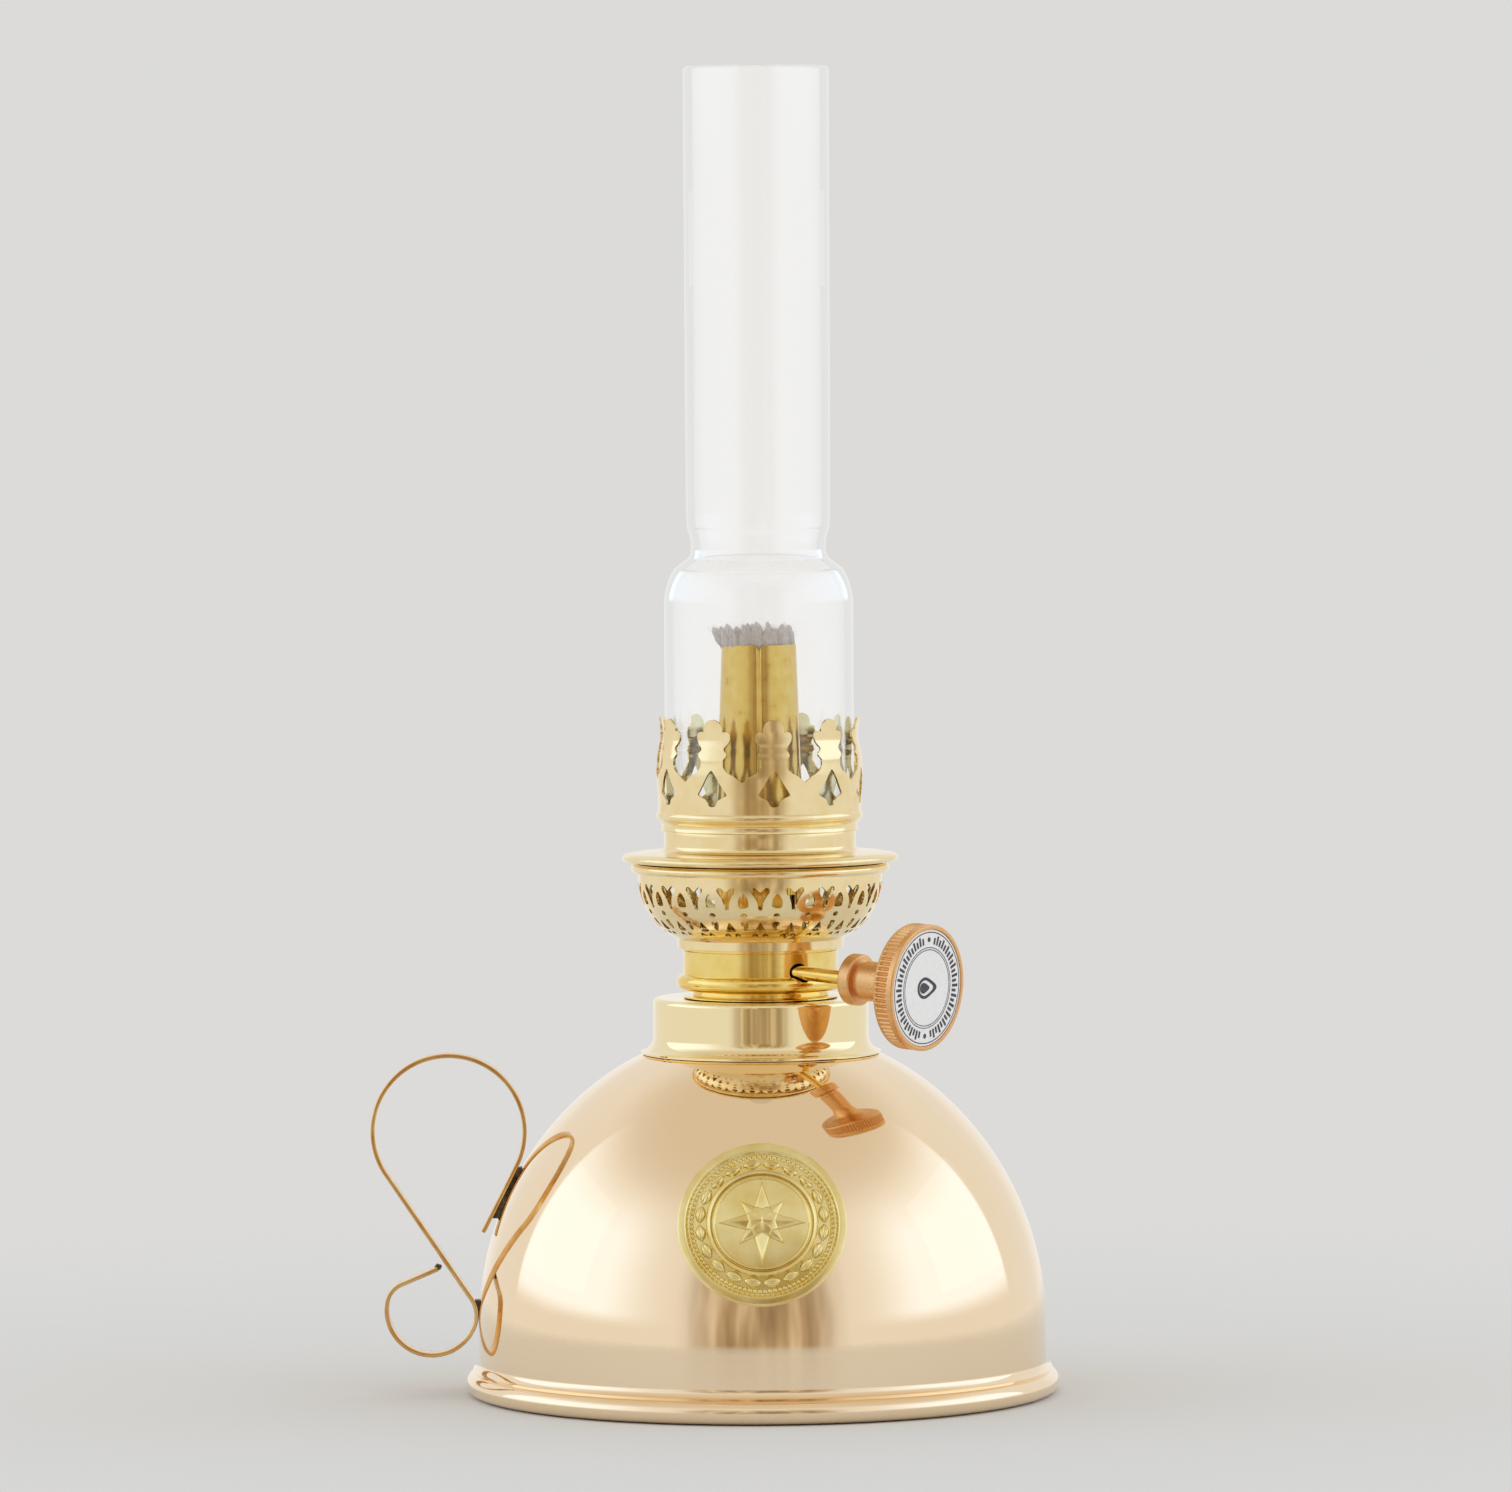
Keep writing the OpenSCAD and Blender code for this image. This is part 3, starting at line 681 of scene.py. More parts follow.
# %% Spin the neck and band
def cut(piece, cutter):
    """Cuts one piece out of another and removes the cutter."""
    tool = piece.modifiers.new("cut", "BOOLEAN")
    tool.operation, tool.solver, tool.object = "DIFFERENCE", "EXACT", cutter
    bpy.context.view_layer.objects.active = piece
    bpy.ops.object.modifier_apply(modifier=tool.name)
    bpy.data.objects.remove(cutter)


BAND_R, BAND_TOP, FLOOR_Z, THREAD_R, PITCH = 13.9, 79.9, 81.2, 12.2, 1.8
thread_rows = [63 + 0.15 * i for i in range(1, 52)]


def neck_outline(angle):
    """The neck with its thread, the bead and the band, for one angle round the axis."""
    line = [(11.5, 63), (THREAD_R - 0.35, 63)]
    for z in thread_rows:
        phase = ((z / PITCH) - angle / (2 * math.pi)) % 1.0
        fade = step_up(z, 63.2, 64) * (1 - step_up(z, 69.8, 70.6))
        line.append((THREAD_R - 0.39 * fade * (1 - hump(phase, 0.5, 0.5)), z))
    foot = COLLAR_TOP + 0.03
    line += [(THREAD_R, 71), (THREAD_R, foot - 0.05), (THREAD_R + 0.1, foot), (BAND_R - 0.05, foot)]
    line += [(BAND_R, foot + 0.05), (BAND_R, foot + 0.2), (BAND_R - 0.05, foot + 0.25)]
    line += [(THREAD_R + 0.2, foot + 0.3)]
    line += [(THREAD_R, foot + 0.5), (THREAD_R, 72.4)] + arc(THREAD_R + 0.5, 72.4, 0.5, 180, 90, 5)
    line += arc(BAND_R - 0.1, 74.2, 1.4, 247, 446, 24)
    line += [(BAND_R, 75.8), (BAND_R, BAND_TOP - 0.1), (BAND_R - 0.1, BAND_TOP), (BAND_R - 0.35, BAND_TOP)]
    line += [(BAND_R - 0.35, FLOOR_Z)]
    return line + [(BAND_R - 0.7, FLOOR_Z), (BAND_R - 0.7, 73.6), (11.5, 73.6)]


# The neck wears the deeper copy of the burner brass, whose extra yellow is painted reflection.
neck = lathe("burner_neck", neck_outline, NECK_BRASS_PAINTED_REFLECTION, steps=288)
hole = lathe("hole", [(0.001, 9), (1.65, 9), (1.65, 21), (0.001, 21)], NECK_BRASS_PAINTED_REFLECTION, 64, ON_SHAFT)
cut(neck, hole)
finish_mesh(neck.data, NECK_BRASS_PAINTED_REFLECTION)
mount(neck, "burner", "burner_brass", "burner_base")

# %% [markdown]
# ## Pierced sheet
#
# The air basket and the crown are thin sheet, punched flat and then drawn to shape. The same
# order is followed here. One unit of the pattern is drawn flat, with its holes as outlines. A
# constrained Delaunay triangulation fills the sheet between them, the holes' triangles are
# dropped, and the flat sheet is wrapped on the turned shape, with an inner face and cut edges.
# The unit is then repeated round the axis.

# %% Punch and wrap a sheet
def inside(point, outline):
    """Whether a flat point is inside a closed outline."""
    x, y = point
    hit = False
    for (x0, y0), (x1, y1) in zip(outline, outline[1:] + outline[:1]):
        if (y0 > y) != (y1 > y) and x < (x1 - x0) * (y - y0) / (y1 - y0) + x0:
            hit = not hit
    return hit


def near(point, outline, distance):
    """Whether a flat point is closer than distance to one of the outline's points."""
    return any((point[0] - x) ** 2 + (point[1] - y) ** 2 < distance ** 2 for x, y in outline)


def dense(outline, step):
    """The same closed outline with no side longer than step."""
    points = []
    for (x0, y0), (x1, y1) in zip(outline, outline[1:] + outline[:1]):
        count = max(1, math.ceil(math.hypot(x1 - x0, y1 - y0) / step))
        points += [(x0 + (x1 - x0) * i / count, y0 + (y1 - y0) * i / count) for i in range(count)]
    return points


def rounded(outline, rounds=2):
    """Rounds a closed outline's corners by cutting them off again and again."""
    for _ in range(rounds):
        cut_points = []
        for (x0, y0), (x1, y1) in zip(outline, outline[1:] + outline[:1]):
            cut_points += [(0.75 * x0 + 0.25 * x1, 0.75 * y0 + 0.25 * y1),
                           (0.25 * x0 + 0.75 * x1, 0.25 * y0 + 0.75 * y1)]
        outline = cut_points
    return outline


def punched(width, height, holes, step):
    """Points and triangles of a flat unit [0, width] x [0, height] without its holes."""
    shifted = []
    for outline in holes:
        for shift in (-width, 0, width):
            moved = [(x + shift, y) for x, y in outline]
            if max(x for x, _ in moved) > 0 and min(x for x, _ in moved) < width:
                shifted.append(moved)
    points, edges = [], []

    def chain(line, closed):
        first = len(points)
        points.extend(Vector(p) for p in line)
        last = len(points) - 1
        edges.extend((i, i + 1) for i in range(first, last))
        if closed:
            edges.append((last, first))

    rows = [height * i / math.ceil(height / step) for i in range(math.ceil(height / step) + 1)]
    columns = [width * i / math.ceil(width / step) for i in range(math.ceil(width / step) + 1)]
    chain([(0, y) for y in rows], False)
    chain([(width, y) for y in rows], False)
    chain([(x, 0) for x in columns], False)
    chain([(x, height) for x in columns], False)
    for outline in shifted:
        chain(outline, True)
    for y in rows[1:-1]:
        for x in columns[1:-1]:
            if not any(inside((x, y), o) or near((x, y), o, 0.45 * step) for o in shifted):
                points.append(Vector((x, y)))
    flat, _, faces, _, _, _ = delaunay_2d_cdt(points, edges, [], 0, 1e-6)
    kept = []
    for face in faces:
        middle = sum((flat[i] for i in face), Vector((0, 0))) / 3
        in_unit = 0 < middle.x < width and 0 < middle.y < height
        if in_unit and not any(inside(middle, o) for o in shifted):
            kept.append(tuple(face))
    return flat, kept


def wrapped(name, flat, kept, width, units, start, shape, material):
    """Wraps a flat unit on shape(x, y) -> ((r, z) outside, (r, z) inside), all round the axis."""
    used = sorted({i for face in kept for i in face})
    sides = [shape(flat[i].x, flat[i].y) for i in used]
    place = {i: k for k, i in enumerate(used)}
    count = {}
    for face in kept:
        for a, b in zip(face, face[1:] + face[:1]):
            count[frozenset((a, b))] = count.get(frozenset((a, b)), 0) + 1
    rim = []
    for face in kept:
        for a, b in zip(face, face[1:] + face[:1]):
            on_border = all(abs(flat[i].x) < 1e-5 for i in (a, b)) or all(
                abs(flat[i].x - width) < 1e-5 for i in (a, b))
            if count[frozenset((a, b))] == 1 and not on_border:
                rim.append((a, b))
    verts, faces, size = [], [], len(used)
    for unit in range(units):
        base = len(verts)
        for k in (0, 1):
            for i, side in zip(used, sides):
                angle = start + 2 * math.pi / units * (unit + flat[i].x / width)
                verts.append((side[k][0] * math.cos(angle), side[k][0] * math.sin(angle), side[k][1]))
        for a, b, c in kept:
            faces.append((base + place[a], base + place[b], base + place[c]))
            faces.append((base + size + place[c], base + size + place[b], base + size + place[a]))
        for a, b in rim:
            faces.append((base + place[b], base + place[a], base + size + place[a], base + size + place[b]))
    return new_piece(name, verts, faces, material)


# %% [markdown]
# ## The air basket
#
# Air for the flame comes in through the basket: a bowl with twenty-two groups of holes. A group
# has a pointed arch, a heart-shaped hole beside it, a dot and a lozenge below the arch, and a
# triangle with two small crescents below the heart. Round the top the sheet is rolled over.

# %% Basket pattern
BASKET_MIDDLE = Vector((9.8, 93.05))
BASKET_R, BASKET_SHEET = 12.2, 0.5
BASKET_UNITS = 22
basket_from, basket_to = -63, 6


def basket_point(tilt, depth):
    """A point of the basket's bowl, at an angle on its arc in degrees, sunk by depth."""
    a = math.radians(tilt)
    radius = BASKET_R - depth
    return BASKET_MIDDLE.x + radius * math.cos(a), BASKET_MIDDLE.y + radius * math.sin(a)


basket_w = 2 * math.pi * 19.0 / BASKET_UNITS
basket_h = math.radians(basket_to - basket_from) * BASKET_R


def on_basket(outline, group_x, z):
    """Turns an outline seen from the front, about height z, into flat places on the unit."""
    places = []
    for x, y in outline:
        tilt = math.asin((z + y - BASKET_MIDDLE.y) / BASKET_R)
        radius = BASKET_MIDDLE.x + BASKET_R * math.cos(tilt)
        places.append((group_x + x / radius * 19.0, (tilt - math.radians(basket_from)) * BASKET_R))
    return places


arch_half = [(0.92, -1.1), (0.97, -0.3), (0.86, 0.35), (0.5, 0.95), (0.0, 1.4)]
arch = [(0.0, -1.32), (0.6, -1.3)] + arch_half + [(-x, y) for x, y in arch_half[-2::-1]] + [(-0.6, -1.3)]
heart_half = [(0.36, -2.05), (0.4, -1.3), (0.62, -0.4), (1.05, 0.45), (1.6, 1.2), (1.78, 1.65), (1.5, 2.12),
              (1.0, 2.15), (0.5, 1.7)]
heart = heart_half + [(0.0, 1.2)] + [(-x, y) for x, y in heart_half[::-1]]
lozenge = [(0.58, 0.78), (0.7, 0.3), (0.45, -0.4), (0.0, -1.0), (-0.45, -0.4), (-0.7, 0.3), (-0.58, 0.78),
           (0.0, 0.86)]
triangle = [(-1.08, -0.8), (0.0, -0.95), (1.08, -0.8), (0.5, 0.15), (0.0, 1.05), (-0.5, 0.15)]
crescent = [(0.42, 0.15), (0.9, 0.45), (1.38, 0.2), (1.45, -0.28), (1.1, -0.08), (0.75, -0.08),
            (0.42, -0.3)]
dot = [(0.6 * math.cos(a * math.pi / 8), 0.43 * math.sin(a * math.pi / 8)) for a in range(16)]
mirrored = [(-x, y) for x, y in crescent]
middle_x = basket_w / 2
basket_holes = [
    on_basket(dense(rounded(outline, turns), 0.3), group_x, z)
    for outline, turns, group_x, z in (
        (arch, 1, middle_x, 89.8), (heart, 1, 0, 90.1), (dot, 0, middle_x, 87.2),
        (lozenge, 1, middle_x, 85.2),
        (triangle, 1, 0, 85.0), (crescent, 1, 0, 83.45), (mirrored, 1, 0, 83.45))]

# %% Form the basket
flat, kept = punched(basket_w, basket_h, basket_holes, 0.42)


def basket_shape(x, y):
    tilt = basket_from + math.degrees(y / BASKET_R)
    return basket_point(tilt, 0), basket_point(tilt, BASKET_SHEET)


bowl = wrapped("bowl", flat, kept, basket_w, BASKET_UNITS, -math.pi / 2, basket_shape, BUFFED)
RIM_MIDDLE = (22.3, 94.7)
top_out, top_in = basket_point(basket_to, 0), basket_point(basket_to, BASKET_SHEET)
bowl_rim = lathe("bowl_rim", [top_in, (top_out[0], top_out[1] - 0.05)]
                 + arc(RIM_MIDDLE[0], RIM_MIDDLE[1], 0.95, -60, 150, 18), BUFFED, 256)
foot_out, foot_in = basket_point(basket_from, 0), basket_point(basket_from, BASKET_SHEET)
bowl_foot = lathe("bowl_foot", [(14.4, 80.35), (14.9, 80.35), (15, 80.45), (15, foot_out[1] - 0.25),
                                (foot_out[0], foot_out[1]),
                                (foot_in[0], foot_in[1]), (14.4, foot_in[1])], BUFFED, 256)
basket = joined("air_basket_pierced", bowl, bowl_rim, bowl_foot)
mount(basket, "burner", "burner_brass", "air_basket")

# %% [markdown]
# ## The gallery
#
# The gallery carries the chimney. A turned disc drops over the basket's rim, a neck rises from
# it, and round the neck stands the crown: a ring of ten springy prongs, each with a kite-shaped
# hole below it. The prongs lean in to grip the glass and turn out again at their tips, and two
# fine ridges are pressed across them.

# %% Turn the gallery's disc
SEAT_Z = 104.4
gallery_outline = (
    [(20.6, 94.3), (21.0, 94.3), (21.05, 94.4), (21.05, 95.7), (21.15, 95.76),
     (22.7, 95.76), (22.8, 95.86), (22.8, 96.4)]
    + arc(24.25, 96.5, 0.6, 230, 440, 16)
    + [(24.0, 97.32), (21.5, 97.5), (19.4, 97.75)]
    + arc(18.35, 98.9, 1.1, 270, 180, 10)
    + [(17.25, 99.6), (17.3, 100.4)]
    + arc(17.75, 101.6, 0.5, 200, 160, 4)
    + [(17.45, 102.3), (17.45, SEAT_Z), (15.75, SEAT_Z), (15.7, SEAT_Z - 0.05), (15.7, SEAT_Z - 0.45),
       (16.95, SEAT_Z - 0.5), (17.0, SEAT_Z - 1.0), (17.0, 97.35), (18.5, 97.2), (20.6, 96.5)])
gallery = lathe("gallery_turned", gallery_outline, BUFFED, 288)
mount(gallery, "gallery", "burner_brass", "gallery_flange")

# %% Crown pattern
CROWN_SHEET, PRONGS, FIRST_PRONG = 0.4, 10, math.radians(8.2 - 90)
CROWN_LOW, CROWN_HIGH = 104.6, 121.9
LOBE_R, LOBE_Z = 1.94, 119.96
crown_w = 2 * math.pi * 18.2 / PRONGS
crown_h = CROWN_HIGH - CROWN_LOW
prong_side = [
    (LOBE_R * math.cos(math.radians(a)), LOBE_Z + LOBE_R * math.sin(math.radians(a)))
    for a in range(90, -11, -10)]
prong_side += [
    (2.15, 119.68), (2.65, 119.74), (3.15, 119.55), (3.4, 119.15), (3.42, 118.8), (3.35, 118.3),
    (3.2, 117.95),
    (2.9, 117.5), (2.55, 117.15), (2.3, 116.9), (2.24, 116.65), (2.28, 116.4), (2.55, 116.15), (2.8, 115.9),
    (2.87, 115.6), (2.75, 115.3), (2.5, 115.05), (2.28, 114.85), (2.21, 114.5), (2.2, 113.9), (2.24, 113.5),
    (2.42, 113.2), (2.75, 112.8), (3.07, 112.5), (3.45, 112.25), (3.84, 112.05), (4.4, 111.75),
    (4.85, 111.35),
    (5.3, 111.05), (crown_w / 2, 110.7)]
gap_side = [(crown_w / 2 - x, z - CROWN_LOW) for x, z in prong_side]
above = crown_h + 1
gap = ([(-x, z) for x, z in gap_side] + [(x, z) for x, z in gap_side[-2::-1]]
       + [(crown_w / 2, above), (-crown_w / 2, above)])
kite_side = [(0.0, 112.9), (0.33, 112.6), (0.67, 112.15), (1.05, 111.5), (1.4, 110.9), (1.72, 110.35),
             (2.1, 109.75), (2.5, 109.15), (2.82, 108.7), (2.88, 108.48), (2.7, 108.3), (2.3, 108.1),
             (1.85, 107.9),
             (1.4, 107.65), (1.1, 107.4), (0.95, 107.15), (0.9, 106.95), (0.85, 106.75), (0.55, 106.45),
             (0.3, 106.37), (0.0, 106.35)]
kite = [(x + crown_w / 2, z - CROWN_LOW) for x, z in kite_side]
kite += [(crown_w - x, z) for x, z in kite[-2:0:-1]]
profile = [(104.6, 18.3), (108, 18.3), (111.5, 18.6), (114.5, 18.4), (118, 17.78),
           (119.4, 17.78), (120.6, 17.95),
           (121.9, 18.2)]


def crown_radius(z):
    """The crown's outside radius, with its two pressed ridges."""
    for (z0, r0), (z1, r1) in zip(profile, profile[1:]):
        if z <= z1:
            base = r0 + (r1 - r0) * (z - z0) / (z1 - z0)
            break
    else:
        base = profile[-1][1]
    return base + 0.14 * hump(z, 116.7, 0.35) + 0.14 * hump(z, 115.1, 0.35)


def soft_radius(z):
    """The same, smoothed, because sheet doesn't kink."""
    return sum(crown_radius(z + d) for d in (-0.5, -0.25, 0, 0.25, 0.5)) / 5


# %% Form the crown
flat, kept = punched(crown_w, crown_h, [dense(gap, 0.3), dense(kite, 0.3)], 0.32)


def crown_shape(x, y):
    z = min(CROWN_LOW + y, CROWN_HIGH)
    slope = (soft_radius(z + 0.2) - soft_radius(z - 0.2)) / 0.4
    length = math.hypot(1, slope)
    r = soft_radius(z)
    return (r, z), (r - CROWN_SHEET / length, z + CROWN_SHEET * slope / length)


start = FIRST_PRONG - math.pi / PRONGS
sheet = wrapped("sheet", flat, kept, crown_w, PRONGS, start, crown_shape, BUFFED)
bead_outline = (
    [(17.5, 101.5), (17.75, 101.5), (17.82, 101.6), (17.66, 101.95), (17.62, 102.4),
     (17.75, 102.85), (18.0, 103.2)]
    + arc(17.6, 104.2, 1.0, -62, 70, 18) + [(18.2, 105.2), (17.9, 105.2), (17.5, 104.95)])
bead = lathe("bead", bead_outline, BUFFED, 288)
crown = joined("crown_formed", sheet, bead)
mount(crown, "gallery", "burner_brass", "gallery_crown")

# %% [markdown]
# ## The chimney
#
# The chimney starts as a glass tube. Its foot is blown to a bulb, its waist is drawn in just
# above the flame, and both ends are fire-polished, so they are round. The wall stays even. The
# outline is the same chain of arcs as in the CAD, only finer, because glass shows every facet.

# %% Blow the chimney
GLASS_WALL, CHIMNEY_TOP = 1.4, 238.6


def glass_side(inset):
    """Outline of the glass from foot to top, sunk inwards by inset."""
    return (
        [(17 - inset, 115), (17 - inset, 130)]
        + arc(4.6, 142, 12.4 - inset, 0, 32, 24)
        + arc(15.3, 152.2, 3.2 + inset, 214, 180, 16)
        + arc(19.4, 152.6, 7.3 + inset, 180, 155, 14)
        + [(12.95 - inset, 159), (13.02 - inset, 180), (13.05 - inset, 210)])


half_wall = GLASS_WALL / 2
chimney_outline = (
    arc(17 - half_wall, SEAT_Z + half_wall, half_wall, 180, 360, 16)
    + glass_side(0)
    + arc(13.1 - half_wall, CHIMNEY_TOP - half_wall, half_wall, 0, 180, 16)
    + glass_side(GLASS_WALL)[::-1])
chimney = lathe("chimney_blown", chimney_outline, GLASS, 288)
mount(chimney, "chimney", "glass", "glass_chimney")

# %% [markdown]
# ## The wick tube and the wick
#
# The wick tube is rolled from flat sheet and its edges meet in a seam at the front, which shows
# as a thin dark line with a small notch at the top. Below the basket's floor the tube turns into
# a flat oval, because there the wick lies folded in two layers. That lower part is taken from
# the CAD as it is, since nothing of it is polished.

# %% Roll the wick tube
def below(node, z):
    """A copy of a CAD node's mesh below a height, in row coordinates."""
    mesh = frame["nodes"][node].data.copy()
    work = bmesh.new()
    work.from_mesh(mesh)
    geometry = work.verts[:] + work.edges[:] + work.faces[:]
    bmesh.ops.bisect_plane(work, geom=geometry, plane_co=(0, 0, z * MM),
                           plane_no=(0, 0, 1), clear_outer=True)
    work.to_mesh(mesh)
    work.free()
    piece = bpy.data.objects.new(node + "_low", mesh)
    bpy.context.scene.collection.objects.link(piece)
    return piece


TUBE_TOP, TUBE_SPLIT = 134.9, 92.5


def tube_outline(angle):
    """The tube's wall for one angle, with the seam at the front."""
    off = (angle + math.pi / 2 + math.pi) % (2 * math.pi) - math.pi
    seam = math.exp(-(off * 7.2 / 0.28) ** 2)
    top = TUBE_TOP - 0.9 * math.exp(-(off * 6.7 / 0.5) ** 2)
    outer = [(8.05, TUBE_SPLIT), (8.05, 96)]
    outer += [(8.05 - 1.35 * (z - 96) / 38.9, z) for z in range(100, 134, 4)]
    outer = [(r - 0.3 * seam, z) for r, z in outer]
    return outer + [(6.71 - 0.3 * seam, top - 0.08), (6.63, top), (6.4, top), (6.35, top - 0.08),
                    (7.65, 96), (7.65, TUBE_SPLIT)]


upper_tube = lathe("upper_tube", tube_outline, DRAWN, 540)
lower_tube = below("wick_tube", TUBE_SPLIT)
finish_mesh(lower_tube.data, DRAWN)
wick_tube = joined("wick_tube_rolled", upper_tube, lower_tube)
mount(wick_tube, "burner", "tube_brass", "wick_tube")

# %% [markdown]
# The wick is flat woven cotton that closes to a round inside the tube. Where it stands out of
# the tube it frays: the yarns swell to soft tufts that lean away from each other, and every
# tuft ends in fibres. The fibres are thin tubes along curling lines. A seeded random generator
# gives the same wick every time. Blender's noise has a seed of its own, which is taken from the
# clock unless it is set, so it is set too.

# %% Fray the wick
rng = random.Random(7)
noise.seed_set(7)


def strand(start, heading, length, radius, curl, parts=6):
    """A thin three-sided tube along a curling line. Returns its points and faces."""
    place, direction = Vector(start), Vector(heading).normalized()
    verts, faces = [], []
    for i in range(parts + 1):
        side = direction.orthogonal().normalized()
        other = direction.cross(side)
        thin = radius * (1 - 0.75 * i / parts)
        for k in range(3):
            a = 2 * math.pi * k / 3
            verts.append(place + thin * (math.cos(a) * side + math.sin(a) * other))
        push = Vector((rng.gauss(0, 1), rng.gauss(0, 1), rng.gauss(0, 0.6)))
        direction = (direction + curl * push).normalized()
        place = place + direction * length / parts
    for i in range(parts):
        for k in range(3):
            m = (k + 1) % 3
            faces.append((3 * i + k, 3 * i + m, 3 * i + 3 + m, 3 * i + 3 + k))
    return verts, faces


def tuft(start, heading, length, radius):
    """A soft tapering lump of yarn."""
    verts, faces = [], []
    direction = Vector(heading).normalized()
    side = direction.orthogonal().normalized()
    other = direction.cross(side)
    rows, round_count = 9, 12
    for i in range(rows + 1):
        share = i / rows
        size = radius * (math.sqrt(max(0.0, 1 - share ** 3)) * (0.8 + 0.4 * math.sin(2.6 * share)) + 0.02)
        middle = Vector(start) + direction * length * share
        for k in range(round_count):
            a = 2 * math.pi * k / round_count
            point = middle + size * (math.cos(a) * side + math.sin(a) * other)
            verts.append(point + 0.22 * size / radius * noise.noise_vector(point * 1.6))
    for i in range(rows):
        for k in range(round_count):
            m = (k + 1) % round_count
            faces.append((round_count * i + k, round_count * i + m,
                          round_count * (i + 1) + m, round_count * (i + 1) + k))
    faces.append(tuple(range(len(verts) - round_count, len(verts))))
    return verts, faces


fray_verts, fray_faces = [], []


def collect(made):
    """Adds points and faces to the frayed part."""
    verts, faces = made
    base = len(fray_verts)
    fray_verts.extend(verts)
    fray_faces.extend(tuple(base + i for i in face) for face in faces)


LEAN = Vector((-0.26, 0, 0))
for i in range(44):
    angle = 2 * math.pi * (i + rng.uniform(-0.3, 0.3)) / 44
    radius = rng.uniform(5.1, 5.75)
    out = Vector((math.cos(angle), math.sin(angle), 0))
    root = out * radius + Vector((0, 0, 133.6))
    heading = out * rng.uniform(-0.1, 0.4) + LEAN + Vector((0, 0, 1))
    length = rng.uniform(3.3, 5.7)
    collect(tuft(root, heading, length, rng.uniform(0.55, 0.95)))
    for _ in range(34):
        spread = Vector((rng.gauss(0, 0.42), rng.gauss(0, 0.42), 0))
        spot = root + heading.normalized() * rng.uniform(0.5, 0.9) * length + spread
        way = heading + Vector((rng.gauss(0, 0.55), rng.gauss(0, 0.55), rng.gauss(0.1, 0.3)))
        collect(strand(spot, way, rng.uniform(0.6, 1.7), rng.uniform(0.02, 0.045), 0.38))
frayed = new_piece("frayed_end", fray_verts, fray_faces, FRAYED)
woven = below("wick", 134.2)
finish_mesh(woven.data, COTTON)
wick = joined("wick_frayed", woven, frayed)
mount(wick, "wick", "wick", "wick")

# %% [markdown]
# ## The raiser and its knob
#
# The knob turns the shaft and the shaft's wheels lift the wick. The knob's disc is knurled, but
# the knurling stops short of both edges, so plain lips stay at the front and the back. The lathe
# takes the outline for each angle, so each groove is a dip in the radius that fades at its ends.

# %% Turn the hub and knurl the disc
HUB_S, DISC_S, DISC_T, KNOB_R = 24.1, 36.7, 4.1, 11.25
KNOB = matt_brass("turned_matt_brass", SHAFT_POINT, SHAFT_AXIS)
hub_outline = (
    [(1.25, HUB_S)] + arc(4.0, HUB_S + 0.6, 0.6, 270, 360, 6) + arc(4.1, HUB_S + 2.1, 0.5, 0, 90, 6)
    + [(3.55, HUB_S + 2.72), (3.3, HUB_S + 2.8), (3.3, HUB_S + 3.6), (3.55, HUB_S + 3.7)]
    + arc(7.55, DISC_S - 4.2, 4.0, 180, 95, 16) + [(7.55, DISC_S), (1.25, DISC_S)])
hub = lathe("knob_hub_turned", hub_outline, KNOB, 128, ON_SHAFT)
mount(hub, "knob", "knob_brass", "knob_hub")

TEETH = 72
knurl_rows = [0.35 + 0.1 * i for i in range(28)]


def disc_outline(angle):
    """The knob's disc for one angle: back lip, knurled band, front lip and the recess for the label."""
    ridge = abs(((angle * TEETH / (2 * math.pi)) % 1.0) - 0.5) * 2
    depth = 0.42 * step_up(ridge, 0.15, 0.95)
    band = [(KNOB_R - 0.04 - depth * step_up(s, 0.4, 0.75) * (1 - step_up(s, 2.6, 3.0)), s)
            for s in knurl_rows]
    line = [(1.3, 0.0), (7.2, 0.0)] + arc(KNOB_R - 0.45, 0.35, 0.35, 270, 350, 5) + band
    line += [(KNOB_R, 3.16)] + arc(KNOB_R - 0.3, DISC_T - 0.3, 0.3, 0, 90, 6)
    line += [(10.55, DISC_T), (10.45, DISC_T - 0.08)]
    return [(r, DISC_S + s) for r, s in line + [(10.45, DISC_T - 0.5), (1.3, DISC_T - 0.5)]]


disc = lathe("knob_disc_knurled", disc_outline, KNOB, TEETH * 12, ON_SHAFT)
mount(disc, "knob", "knob_brass", "knob_disc")

shaft_outline = ([(0.001, -9), (1.1, -9), (1.25, -8.85), (1.25, DISC_S + 0.5), (0.001, DISC_S + 0.5)])
shaft = lathe("raiser_rod", shaft_outline, DRAWN, 48, ON_SHAFT)
mount(shaft, "knob", "tube_brass", "raiser_shaft")

# %% [markdown]
# The knob's face is a white enamelled disc with a plain printed pattern: rings, a band of short
# rays, and a drop in the middle. The print is a very thin layer of its own, because ink stands
# on the enamel and catches light differently.

# %% Enamel and print the face
FACE_S = DISC_S + DISC_T - 0.5
INK_LOW, INK_HIGH = FACE_S + 0.29, FACE_S + 0.33


def printed(name, outlines, matrix):
    """Flat printed shapes, 0.03 thick, lying on the enamel."""
    verts, faces = [], []
    for outline in outlines:
        base, count = len(verts), len(outline)
        verts += [(x, y, INK_LOW) for x, y in outline] + [(x, y, INK_HIGH) for x, y in outline]
        faces.append(tuple(base + count + i for i in range(count)))
        faces += [(base + i, base + (i + 1) % count, base + count + (i + 1) % count, base + count + i)
                  for i in range(count)]
    return new_piece(name, verts, faces, INK, matrix)


def ray(angle, inner, outer, width):
    """A short printed bar that points outwards."""
    across, along = (-math.sin(angle), math.cos(angle)), (math.cos(angle), math.sin(angle))
    corners = ((inner, -width), (outer, -width), (outer, width), (inner, width))
    return [(r * along[0] + w / 2 * across[0], r * along[1] + w / 2 * across[1]) for r, w in corners]


